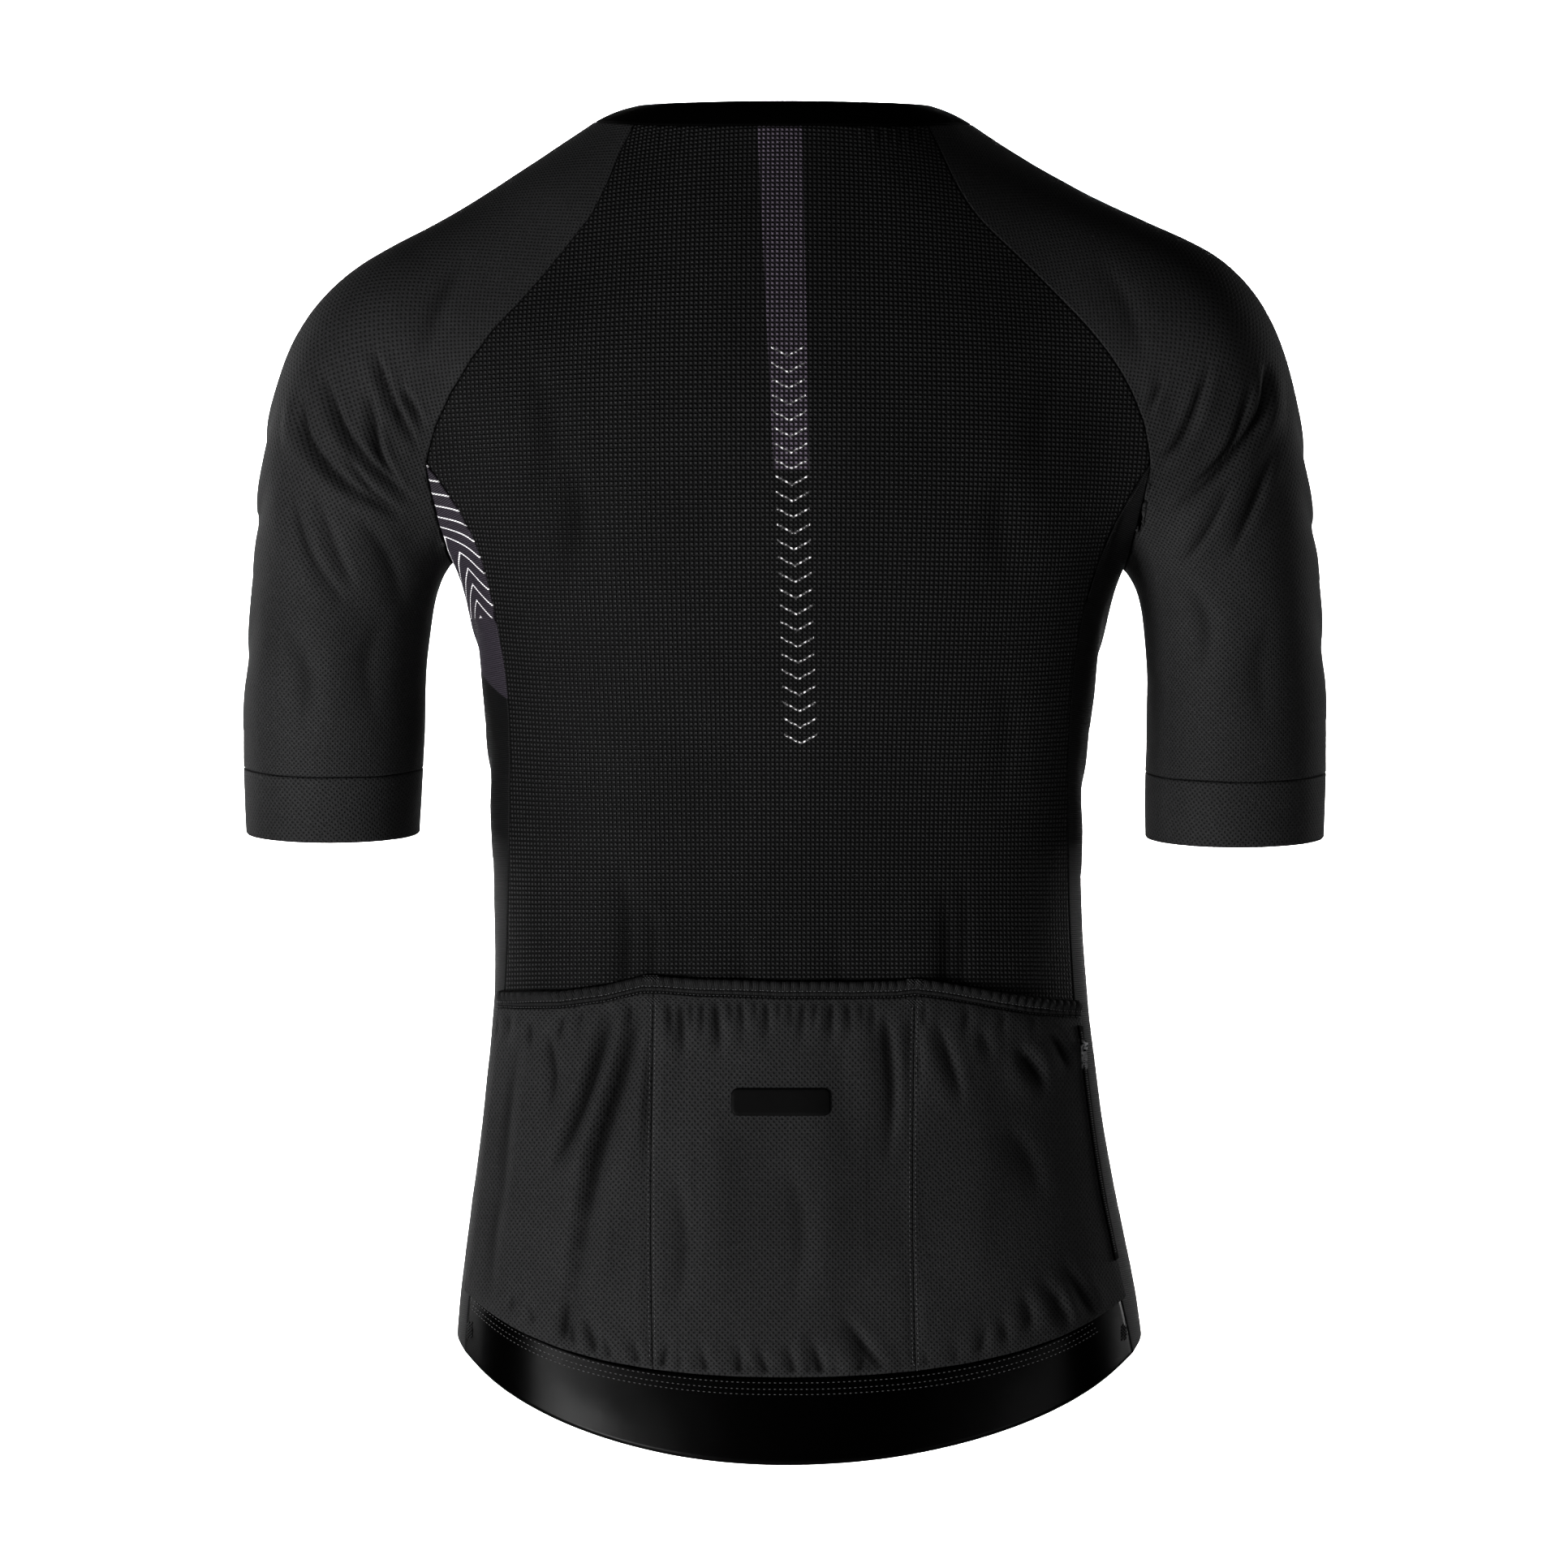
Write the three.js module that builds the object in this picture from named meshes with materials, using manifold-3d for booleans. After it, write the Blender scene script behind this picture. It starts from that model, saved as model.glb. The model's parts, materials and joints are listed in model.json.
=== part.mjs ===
// A short-sleeved raglan cycling jersey with a zipped front and three back pockets, filled out as when worn.
// Millimetres, +Z up. The front faces -Y and the wearer's left is +X. The origin is in the middle of the neck,
// level with the collar's seam at the back.
import Module from "manifold-3d";
import * as THREE from "three";
import { mergeVertices } from "three/addons/utils/BufferGeometryUtils.js";

// Driving sizes
const CLOTH = 1.2; // wall of the body and sleeve cloth
const ELASTIC = 1.6; // wall of the collar, the cuffs and the hem band
const BINDING = 2.2; // wall of the folded binding along the pocket tops
const GAP = 0.3; // clearance between neighbouring pieces and between layers
const HEM = { side: -654, tail: 66, lift: 28 }; // height at the sides, drop at the back, rise at the front
const HEM_CURVE = { tail: 1.3, lift: 1.25, band: 4 }; // powers of these, the higher the flatter at the sides
const HEM_BAND = { edge: 37, middle: 47 }; // height of the elastic band at the side seams and at its middle
const NECK = { side: 99, back: 66, front: 75, drop: 76 }; // collar seam: half-width, depths, fall to the front
const NECK_CURVE = { side: -2, back: -4.3, power: 1.35 }; // its height at the sides and back, shape of its fall
const COLLAR = { side: 79, back: 52, front: 67, swell: 1.4 }; // top edge, and how far the band bulges
const COLLAR_RISE = { side: 11, back: 13.8, front: 19.3 }; // height of the top edge over the seam
const CUFF = { seam: { left: -347.5, right: -350 }, hem: { left: -383.5, right: -386 } }; // on the arm's axis
const CUFF_TILT = 0.11; // fall of a cuff ring per millimetre towards the back, as the arm swings forwards
const ZIP_HALF = 4; // half the front zip's width
const POCKET_TOP = { left: -470, middle: -464, right: -476, reach: 0.92 }; // upper edge, its seams' place
const POCKET_BINDING = 12; // height of that binding
const POCKET_DIVIDER = { left: 69, right: 69.6 }; // distance of the two dividing seams from the middle
const GATHER = 0.7; // height of the gathers of the binding
const ARMHOLE = { z: -184, left: 193.2, right: 198 }; // where sleeve, body and side panel meet
const UNDERARM = { left: 183, right: 186, y: -6, z: -230 }; // lowest point of the armhole

// Numbers of steps along each seam
const STEPS = { raglan: 11, flank: 11, binding: 1, pocket: 7, band: 2, front: 6, over: 20, under: 10 };
const BACK_STEPS = { side: 5, middle: 6 };
const SLEEVE_STEPS = 13;
const CUFF_STEPS = 2;
const COLLAR_STEPS = 2;
const FINER = { pocket: 3, binding: 7 }; // how many times finer than the panel the pieces on it are

// Pieces on the back panel and the two zips
const PATCH = { left: 27.7, right: -24.3, top: -519.5, bottom: -533.6, thick: 1, columns: 6 };
// Distances of the pocket's zip from the seam, and the rows of the pocket's points that it runs between
const POCKET_ZIP = { inner: 5.4, outer: 0.8, from: 0, to: 6, thick: 1 };
const SLIDER = { long: 8, wide: 5.2, base: 1.6, bail: 2.6, bore: 1.3, strap: 1.6, axis: 2.75 };
const PULL = { eye: 2.6, rim: 0.9, thick: 1, bar: 0.5, reach: 3.3, tilt: 0.088 };
const PULL_LONG = { front: 22, pocket: 13 };

// Horizontal sections of the trunk: half-widths to the left and right, depths to the back and front, squareness
const TRUNK = [
  { z: 60, left: 55, right: 55, back: 40, front: 24, square: 2.0 },
  { z: 0, left: 90, right: 88, back: 67, front: 45, square: 2.0 },
  { z: -40, left: 125, right: 125, back: 82, front: 61, square: 2.05 },
  { z: -80, left: 152, right: 152, back: 94, front: 80, square: 2.15 },
  { z: -120, left: 178, right: 180, back: 103, front: 100, square: 2.25 },
  { z: -160, left: 183, right: 187, back: 108, front: 113, square: 2.35 },
  { z: -200, left: 182, right: 188, back: 109, front: 120, square: 2.4 },
  { z: -235, left: 177.3, right: 184.4, back: 107, front: 122, square: 2.4 },
  { z: -262, left: 171, right: 176.4, back: 104, front: 121, square: 2.4 },
  { z: -306, left: 163.2, right: 168.4, back: 98, front: 117, square: 2.35 },
  { z: -350, left: 160.4, right: 163.3, back: 91, front: 111, square: 2.3 },
  { z: -416, left: 156.8, right: 160.6, back: 86, front: 105, square: 2.3 },
  { z: -466, left: 157.6, right: 164.6, back: 88, front: 104, square: 2.3 },
  { z: -500, left: 160, right: 168.4, back: 91, front: 105, square: 2.3 },
  { z: -548, left: 165, right: 174.8, back: 97, front: 107, square: 2.3 },
  { z: -592, left: 170.3, right: 182.6, back: 103, front: 110, square: 2.3 },
  { z: -640, left: 176.2, right: 192, back: 108, front: 112, square: 2.3 },
  { z: -690, left: 178, right: 196, back: 110, front: 113, square: 2.3 },
  { z: -740, left: 178, right: 197, back: 110, front: 113, square: 2.3 },
];

// Rings of each arm from the neck outwards: middle, half-width seen from the front, half-depth
const LEFT_ARM = [
  { x: 90, y: 0, z: -42, wide: 34, deep: 38 },
  { x: 105, y: 1, z: -57, wide: 43, deep: 43 },
  { x: 120, y: 1, z: -76, wide: 53, deep: 48 },
  { x: 148, y: 2, z: -98, wide: 59, deep: 54 },
  { x: 174, y: 2, z: -112, wide: 59, deep: 57 },
  { x: 197, y: 1, z: -122, wide: 58, deep: 60 },
  { x: 215, y: 0, z: -140, wide: 58, deep: 61 },
  { x: 225, y: -2, z: -172, wide: 57.5, deep: 61 },
  { x: 229, y: -5, z: -205, wide: 57, deep: 60 },
  { x: 237.5, y: -9, z: -240, wide: 51, deep: 58 },
  { x: 243, y: -16, z: -290, wide: 49.5, deep: 56 },
  { x: 244.8, y: -22, z: -328, wide: 50, deep: 54 },
  { x: 245.6, y: -27, z: -363, wide: 48.4, deep: 52 },
  { x: 245.6, y: -33, z: -410, wide: 46, deep: 50 },
];
const RIGHT_ARM = [
  { x: 86, y: 0, z: -42, wide: 33.5, deep: 38 },
  { x: 103.5, y: 1, z: -59, wide: 43, deep: 43 },
  { x: 128, y: 1, z: -82, wide: 55, deep: 49 },
  { x: 156, y: 2, z: -99, wide: 59.5, deep: 55 },
  { x: 187, y: 2, z: -112, wide: 59, deep: 58 },
  { x: 207, y: 1, z: -120, wide: 57.5, deep: 60 },
  { x: 218, y: 0, z: -139, wide: 57, deep: 61 },
  { x: 225.5, y: -2, z: -172, wide: 57, deep: 61 },
  { x: 230, y: -5, z: -205, wide: 56.5, deep: 60 },
  { x: 240.4, y: -9, z: -240, wide: 50, deep: 58 },
  { x: 245.2, y: -16, z: -290, wide: 48.6, deep: 56 },
  { x: 246, y: -22, z: -328, wide: 49.4, deep: 54 },
  { x: 245.6, y: -27, z: -363, wide: 49.4, deep: 52 },
  { x: 245.4, y: -33, z: -410, wide: 48, deep: 50 },
];

// Raglan seams from the neck to the armhole corner, seen from the back and from the front
const BACK_RAGLAN = [
  { z: -15, left: 86.7, right: 82.7 },
  { z: -36.5, left: 95, right: 92 },
  { z: -55.5, left: 104.7, right: 104.5 },
  { z: -72, left: 119.2, right: 123.4 },
  { z: -93.3, left: 136, right: 144.3 },
  { z: -112, left: 155, right: 163.2 },
  { z: -129, left: 167.6, right: 177.3 },
  { z: -150, left: 180.4, right: 189.6 },
  { z: -167, left: 188.8, right: 195.6 },
];
const FRONT_RAGLAN = [
  { z: -60, left: 87, right: 87 },
  { z: -80, left: 101, right: 102 },
  { z: -100, left: 117, right: 120 },
  { z: -120, left: 137, right: 141 },
  { z: -140, left: 158, right: 163 },
  { z: -162, left: 179, right: 184 },
];
const BACK_RAGLAN_TOP = { left: 79, right: 76.3 }; // distance from the centre line at the neck
const FRONT_RAGLAN_ANGLE = 2.27; // place of the front raglan seam round the neck, from the back

// Side seams below the armhole, seen from the back. The front ones are the same seen from the front.
const SIDE_SEAM = [
  { z: -199, left: 180.4, right: 186.6 },
  { z: -213.4, left: 171.6, right: 179 },
  { z: -226.6, left: 165, right: 171.6 },
  { z: -240, left: 159.9, right: 167.2 },
  { z: -262, left: 156, right: 160.6 },
  { z: -284, left: 151.4, right: 156.2 },
  { z: -308, left: 147.8, right: 154 },
  { z: -328, left: 146.6, right: 152.7 },
  { z: -372, left: 147.4, right: 152.4 },
  { z: -416, left: 148, right: 152.6 },
  { z: -466, left: 149.5, right: 155 },
  { z: -500, left: 153, right: 158 },
  { z: -548, left: 158.5, right: 164 },
  { z: -592, left: 163.6, right: 171.4 },
  { z: -628, left: 168, right: 179.4 },
  { z: -665, left: 171.4, right: 187.4 },
];

// Drag folds of the sleeves, as troughs seen from one face: start, middle and end, half-width and depth
const FOLDS = [
  { face: 1, from: [262, -140], by: [250, -182], to: [203, -216], wide: 15, deep: 5 },
  { face: 1, from: [247, -128], by: [229, -166], to: [197, -202], wide: 14, deep: 4 },
  { face: 1, from: [222, -122], by: [209, -150], to: [194, -180], wide: 12, deep: 3 },
  { face: 1, from: [258, -188], by: [244, -236], to: [226, -280], wide: 15, deep: 3 },
  { face: -1, from: [256, -138], by: [244, -180], to: [203, -216], wide: 15, deep: 4.4 },
  { face: -1, from: [228, -126], by: [214, -156], to: [196, -184], wide: 13, deep: 3 },
  { face: -1, from: [258, -196], by: [246, -238], to: [232, -272], wide: 14, deep: 2.4 },
  { face: 1, from: [-262, -134], by: [-252, -174], to: [-207, -214], wide: 15, deep: 5 },
  { face: 1, from: [-231, -130], by: [-216, -162], to: [-200, -188], wide: 13, deep: 3.6 },
  { face: 1, from: [-266, -176], by: [-248, -218], to: [-226, -256], wide: 14, deep: 3.2 },
  { face: -1, from: [-257, -140], by: [-246, -182], to: [-206, -216], wide: 15, deep: 4.4 },
  { face: -1, from: [-229, -128], by: [-217, -158], to: [-200, -186], wide: 13, deep: 3 },
  { face: -1, from: [-262, -190], by: [-248, -230], to: [-230, -268], wide: 14, deep: 2.6 },
];

// Standing folds of the pockets, as ridges seen from the back
const POCKET_RIDGES = [
  { face: 1, from: [80, -478], by: [92, -545], to: [128, -652], wide: 12, deep: 3.2 },
  { face: 1, from: [58, -482], by: [72, -560], to: [98, -664], wide: 14, deep: 3 },
  { face: 1, from: [112, -480], by: [130, -520], to: [152, -612], wide: 14, deep: 2.6 },
  { face: 1, from: [24, -484], by: [40, -580], to: [34, -668], wide: 16, deep: 2 },
  { face: 1, from: [-22, -484], by: [-34, -580], to: [-14, -668], wide: 18, deep: 2.2 },
  { face: 1, from: [-56, -486], by: [-44, -590], to: [-54, -664], wide: 13, deep: 2.2 },
  { face: 1, from: [-84, -484], by: [-96, -580], to: [-88, -656], wide: 15, deep: 2.6 },
  { face: 1, from: [-120, -486], by: [-128, -570], to: [-142, -640], wide: 16, deep: 2.4 },
];

// Smooth curve through the rows of a table, for one of its columns, against its column z
function column(table, name) {
  const rows = [...table].sort((a, b) => b.z - a.z);
  const slope = (i) => {
    const above = rows[Math.max(i - 1, 0)];
    const below = rows[Math.min(i + 1, rows.length - 1)];
    return (below[name] - above[name]) / (below.z - above.z);
  };
  const slopes = rows.map((row, i) => slope(i));
  return (z) => {
    const level = THREE.MathUtils.clamp(z, rows.at(-1).z, rows[0].z);
    const i = Math.min(rows.findIndex((row) => row.z <= level), rows.length - 1) || 1;
    const [above, below] = [rows[i - 1], rows[i]];
    const step = below.z - above.z;
    const t = (level - above.z) / step;
    const stay = (1 + 2 * t) * (1 - t) ** 2 * above[name] + t * t * (3 - 2 * t) * below[name];
    const turn = t * (1 - t) ** 2 * slopes[i - 1] - t * t * (1 - t) * slopes[i];
    return stay + turn * step;
  };
}

const trunk = {};
for (const name of ["left", "right", "back", "front", "square"]) trunk[name] = column(TRUNK, name);

// Signed distance from the trunk, along the ray from its axis. The form is the cloth's inner face.
function trunkDistance(p) {
  const [left, right] = [trunk.left(p.z) - CLOTH, trunk.right(p.z) - CLOTH];
  const middle = (left - right) / 2;
  const depth = (p.y > 0 ? trunk.back(p.z) : trunk.front(p.z)) - CLOTH;
  const power = trunk.square(p.z);
  const [dx, dy] = [p.x - middle, p.y];
  const across = Math.abs(dx) / ((left + right) / 2);
  const share = Math.max((across ** power + (Math.abs(dy) / depth) ** power) ** (1 / power), 0.05);
  return Math.hypot(dx, dy) * (1 - 1 / share);
}

// An arm as many short tapered lengths along a smooth curve
const ARM_LENGTHS = 70;
function armLengths(stations, side) {
  const path = new THREE.CatmullRomCurve3(stations.map((s) => new THREE.Vector3(side * s.x, s.y, s.z)));
  const last = stations.length - 1;
  return Array.from({ length: ARM_LENGTHS + 1 }, (unused, k) => {
    const place = (k / ARM_LENGTHS) * last;
    const i = Math.min(Math.floor(place), last - 1);
    const mix = (name) => THREE.MathUtils.lerp(stations[i][name], stations[i + 1][name], place - i);
    return { middle: path.getPoint(k / ARM_LENGTHS), wide: mix("wide") - CLOTH, deep: mix("deep") - CLOTH };
  });
}
const leftArm = armLengths(LEFT_ARM, 1);
const rightArm = armLengths(RIGHT_ARM, -1);

function armDistance(p) {
  const arm = p.x > 0 ? leftArm : rightArm;
  let nearest = Infinity;
  for (let k = 0; k < ARM_LENGTHS; k++) {
    const { middle: a, wide, deep } = arm[k];
    const { middle: b, wide: nextWide, deep: nextDeep } = arm[k + 1];
    const [ex, ey, ez] = [b.x - a.x, b.y - a.y, b.z - a.z];
    const along = ((p.x - a.x) * ex + (p.y - a.y) * ey + (p.z - a.z) * ez) / (ex * ex + ey * ey + ez * ez);
    const t = THREE.MathUtils.clamp(along, 0, 1);
    const radius = wide + (nextWide - wide) * t;
    const squash = radius / (deep + (nextDeep - deep) * t);
    const away = Math.hypot(p.x - a.x - ex * t, (p.y - a.y - ey * t) * squash, p.z - a.z - ez * t);
    nearest = Math.min(nearest, away - radius);
  }
  return nearest;
}

// How softly the trunk and the arms run together, from the armpit upwards
const BLEND = [
  { z: -258, soft: 6 },
  { z: -240, soft: 9 },
  { z: -231, soft: 28 },
  { z: -216, soft: 64 },
  { z: -200, soft: 84 },
  { z: -175, soft: 84 },
  { z: -130, soft: 76 },
];
const softness = column(BLEND, "soft");

// Below the armpit a sleeve's points follow the arm alone, and a panel's points the trunk alone
const PARTING = { z: -230, rate: 3 };

function form(p, part) {
  const soft = softness(p.z);
  const away = PARTING.rate * Math.max(PARTING.z - p.z, 0);
  const a = trunkDistance(p) + (part === "arm" ? away : 0);
  const b = armDistance(p) + (part === "trunk" ? away : 0);
  const near = Math.max(soft - Math.abs(a - b), 0) / soft;
  return Math.min(a, b) - (near ** 3 * soft) / 6;
}

const PROBE = { laying: 0.5, facing: 4 };
function gradient(p, part, probe = PROBE.laying) {
  const rate = (axis) => {
    const [ahead, behind] = [p.clone(), p.clone()];
    ahead[axis] += probe;
    behind[axis] -= probe;
    return (form(ahead, part) - form(behind, part)) / (2 * probe);
  };
  return new THREE.Vector3(rate("x"), rate("y"), rate("z"));
}

// Lays a point onto the form. A level point keeps its height.
const LAYING_STEPS = 7;
const LEAST_SLOPE = 0.05; // keeps a step from running away where the form is flat
function lay(p, level = false, part) {
  const q = p.clone();
  for (let k = 0; k < LAYING_STEPS; k++) {
    const g = gradient(q, part);
    if (level) g.z = 0;
    q.addScaledVector(g, -form(q, part) / Math.max(g.lengthSq(), LEAST_SLOPE));
  }
  return q;
}

// The form's point at x and z that faces the back (+1) or the front (-1)
const SEARCH = { from: 220, step: 1, until: -60, halvings: 24 };
function facing(face, x, z) {
  const at = (y) => form(new THREE.Vector3(x, y * face, z));
  let [outside, inside] = [SEARCH.from, SEARCH.from - SEARCH.step];
  while (at(inside) > 0 && inside > SEARCH.until) {
    outside = inside;
    inside -= SEARCH.step;
  }
  for (let k = 0; k < SEARCH.halvings; k++) {
    const middle = (outside + inside) / 2;
    if (at(middle) > 0) outside = middle;
    else inside = middle;
  }
  return new THREE.Vector3(x, inside * face, z);
}

// Depth of the folds at a point, from the soft lines of a table. A fold dies out towards its ends and where the
// cloth turns away from the side it is seen from.
const FOLD_POINTS = 24;
const FOLD_END = { least: 0.02, power: 0.6 };
const FOLD_FACING = { none: 0.05, full: 0.5 };
const foldPaths = new Map();
for (const fold of [...FOLDS, ...POCKET_RIDGES]) {
  const ends = [fold.from, fold.by, fold.to].map((point) => new THREE.Vector2(...point));
  foldPaths.set(fold, new THREE.QuadraticBezierCurve(...ends).getPoints(FOLD_POINTS));
}

function foldDepth(folds, p, normal) {
  let depth = 0;
  const here = new THREE.Vector2(p.x, p.z);
  for (const fold of folds) {
    const faced = THREE.MathUtils.smoothstep(normal.y * fold.face, FOLD_FACING.none, FOLD_FACING.full);
    if (faced === 0 || fold.from[0] * p.x < 0) continue;
    const distances = foldPaths.get(fold).map((point) => point.distanceTo(here));
    const away = Math.min(...distances);
    const { least, power } = FOLD_END;
    const place = THREE.MathUtils.clamp(distances.indexOf(away) / FOLD_POINTS, least, 1 - least);
    const profile = Math.max(1 - (away / fold.wide) ** 2, 0) ** 2;
    depth = Math.max(depth, fold.deep * Math.sin(Math.PI * place) ** power * profile * faced);
  }
  return depth;
}

// A point of the cloth's inner face, with its outward direction
function clothPoint(p, part) {
  const normal = gradient(p, part, PROBE.facing).normalize();
  return { p: p.clone().addScaledVector(normal, -foldDepth(FOLDS, p, normal)), normal, laid: p };
}

// Points evenly spaced along a line of points, laid onto the form again
function evenly(points, count, level = false, spread = (t) => t) {
  const lengths = [0];
  points.slice(1).forEach((q, i) => lengths.push(lengths[i] + q.distanceTo(points[i])));
  return Array.from({ length: count + 1 }, (unused, k) => {
    if (k === 0) return points[0].clone();
    if (k === count) return points.at(-1).clone();
    const want = spread(k / count) * lengths.at(-1);
    const i = lengths.findIndex((length) => length >= want);
    const t = (want - lengths[i - 1]) / (lengths[i] - lengths[i - 1]);
    return lay(points[i - 1].clone().lerp(points[i], t), level);
  });
}

// An arc on the form from one point to another by way of a third
const ARC_POINTS = 40;
function arc(from, by, to, count, spread) {
  const middle = from.clone().lerp(to, 0.5);
  const half = from.clone().sub(middle);
  const crown = by.clone().sub(middle);
  const points = Array.from({ length: ARC_POINTS + 1 }, (unused, k) => {
    const turn = (Math.PI * k) / ARC_POINTS;
    const q = middle.clone().addScaledVector(half, Math.cos(turn)).addScaledVector(crown, Math.sin(turn));
    return k === 0 || k === ARC_POINTS ? q : lay(q);
  });
  return evenly(points, count, false, spread);
}

// The same across the back or front, at heights given by a function of x
function levelArc(from, to, face, height, count) {
  const points = Array.from({ length: ARC_POINTS + 1 }, (unused, k) => {
    const turn = (Math.PI * k) / ARC_POINTS;
    const x = THREE.MathUtils.lerp(from.x, to.x, (1 - Math.cos(turn)) / 2);
    return k === 0 ? from : k === ARC_POINTS ? to : facing(face, x, height(x));
  });
  return evenly(points, count, true).map((q, k) => (k === 0 || k === count ? q : levelled(q, height)));
}

function levelled(q, height) {
  return lay(new THREE.Vector3(q.x, q.y, height(q.x)), true);
}

// A seam on the form through the rows of a table, between two points
function seam(rows, side, face, from, to, count) {
  const between = rows.map((row) => facing(face, side * sized(side, row), row.z));
  const curve = new THREE.CatmullRomCurve3([from, ...between, to], false, "centripetal");
  return evenly(curve.getPoints(ARC_POINTS * 3), count);
}

const sized = (side, size) => (side > 0 ? size.left : size.right);
const neckAngle = (side) => Math.asin(sized(side, BACK_RAGLAN_TOP) / NECK.side);

// Heights of the hem, of the band's seam and of the pocket tops, across the back or front
function roundness(x) {
  const half = (x > 0 ? trunk.left(HEM.side) : trunk.right(HEM.side)) - CLOTH;
  return Math.sqrt(Math.max(1 - (x / half) ** 2, 0));
}
const backHem = (x) => HEM.side - HEM.tail * roundness(x) ** HEM_CURVE.tail;
const frontHem = (x) => HEM.side + HEM.lift * roundness(x) ** HEM_CURVE.lift;
const bandHeight = (x) => THREE.MathUtils.lerp(HEM_BAND.edge, HEM_BAND.middle, roundness(x) ** HEM_CURVE.band);
const bandSeam = (x) => backHem(x) + bandHeight(x);
function pocketTop(x) {
  const end = x > 0 ? POCKET_TOP.left : POCKET_TOP.right;
  const reach = (x > 0 ? trunk.left(end) : trunk.right(end)) * POCKET_TOP.reach;
  return THREE.MathUtils.lerp(POCKET_TOP.middle, end, Math.min(Math.abs(x) / reach, 1) ** 2);
}
const bindingFoot = (x) => pocketTop(x) - POCKET_BINDING;

// The collar seam. The angle runs from the back, 0, over the left side to the front, pi.
function neckGuess(angle) {
  const [s, c] = [Math.sin(angle), Math.cos(angle)];
  const { side, back, power } = NECK_CURVE;
  const z = c > 0 ? THREE.MathUtils.lerp(side, back, c * c) : side - NECK.drop * (-c) ** power;
  return new THREE.Vector3(NECK.side * s, (c > 0 ? NECK.back : NECK.front) * c, z);
}
const neckAt = (angle) => lay(neckGuess(angle));
function neckArc(from, to, count) {
  const points = Array.from({ length: ARC_POINTS + 1 }, (unused, k) =>
    neckAt(THREE.MathUtils.lerp(from, to, k / ARC_POINTS)),
  );
  return evenly(points, count);
}

// A surface between four lines of points that share their corners, laid onto the form
function patch(top, bottom, left, right, part) {
  const shares = (line) => {
    const lengths = [0];
    line.slice(1).forEach((q, i) => lengths.push(lengths[i] + q.distanceTo(line[i])));
    return lengths.map((length) => length / lengths.at(-1));
  };
  const [topShare, bottomShare, leftShare, rightShare] = [top, bottom, left, right].map(shares);
  return left.map((unused, i) => {
    return top.map((nothing, j) => {
      if (i === 0) return top[j];
      if (i === left.length - 1) return bottom[j];
      if (j === 0) return left[i];
      if (j === top.length - 1) return right[i];
      const u = (topShare[j] + bottomShare[j]) / 2;
      const v = (leftShare[i] + rightShare[i]) / 2;
      const q = top[j].clone().multiplyScalar(1 - v).addScaledVector(bottom[j], v);
      q.addScaledVector(left[i], 1 - u).addScaledVector(right[i], u);
      q.addScaledVector(top[0], -(1 - u) * (1 - v)).addScaledVector(top.at(-1), -u * (1 - v));
      q.addScaledVector(bottom[0], -(1 - u) * v).addScaledVector(bottom.at(-1), -u * v);
      return lay(q, false, part);
    });
  });
}

const SHARPEST = 0.15; // keeps a wall's corner from running out to a long point

// Grids of cloth points, one shared record for each place, so that neighbouring pieces meet exactly
const known = new Map();
function clothGrid(rows, part) {
  return rows.map((row) =>
    row.map((p) => {
      const key = [p.x, p.y, p.z].map((x) => x.toFixed(3)).join();
      if (!known.has(key)) known.set(key, clothPoint(p, part));
      return known.get(key);
    }),
  );
}

function quadsOf(grid) {
  const quads = [];
  for (let i = 0; i + 1 < grid.length; i++) {
    for (let j = 0; j + 1 < grid[i].length; j++) {
      quads.push([grid[i][j], grid[i + 1][j], grid[i + 1][j + 1], grid[i][j + 1]]);
    }
  }
  return quads;
}

// A wall of cloth over a list of four-sided faces. Its edges are drawn in by half the gap, so that it clears
// its neighbours. Near and far are the offsets of its two faces from the points, and raise adds to them.
const flat = () => ({ near: 0, far: 0 });
function wall(quads, near, far, raise = flat, folds = FOLDS) {
  const index = new Map();
  quads.flat().forEach((point) => index.has(point) || index.set(point, index.size));
  const faced = quads.map((quad) => orient(quad));
  const edges = new Map();
  for (const quad of faced) {
    quad.forEach((a, k) => {
      const b = quad[(k + 1) % 4];
      const back = `${index.get(b)},${index.get(a)}`;
      if (!edges.delete(back)) edges.set(`${index.get(a)},${index.get(b)}`, { a, b });
    });
  }
  const inward = new Map();
  for (const { a, b } of edges.values()) {
    for (const point of [a, b]) {
      const draw = point.normal.clone().cross(b.p.clone().sub(a.p)).normalize();
      inward.set(point, [...(inward.get(point) || []), draw]);
    }
  }
  const position = [];
  for (const outer of [true, false]) {
    for (const point of index.keys()) {
      const q = point.p.clone();
      const draws = inward.get(point);
      if (draws) {
        const [first, second] = [draws[0], draws.at(-1)];
        const sum = first.clone().add(second);
        q.addScaledVector(sum, GAP / 2 / Math.max(1 + first.dot(second), SHARPEST));
      }
      const raised = raise(point);
      q.addScaledVector(point.normal, outer ? far + raised.far : near + raised.near);
      position.push(q.x, q.y, q.z);
    }
  }
  const count = index.size;
  const faces = [];
  for (const quad of faced) {
    const [a, b, c, d] = foldedAlong(quad, folds).map((point) => index.get(point));
    faces.push(a, b, c, a, c, d);
    faces.push(a + count, c + count, b + count, a + count, d + count, c + count);
  }
  for (const { a, b } of edges.values()) {
    const [m, n] = [index.get(a), index.get(b)];
    // both walls at a seam split its strip along the same diagonal
    if (a.p.z > b.p.z) faces.push(n, m, m + count, n, m + count, n + count);
    else faces.push(n, m, n + count, m, m + count, n + count);
  }
  const geometry = new THREE.BufferGeometry();
  geometry.setAttribute("position", new THREE.Float32BufferAttribute(position, 3));
  geometry.setIndex(faces);
  geometry.computeVertexNormals();
  return geometry;
}

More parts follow.
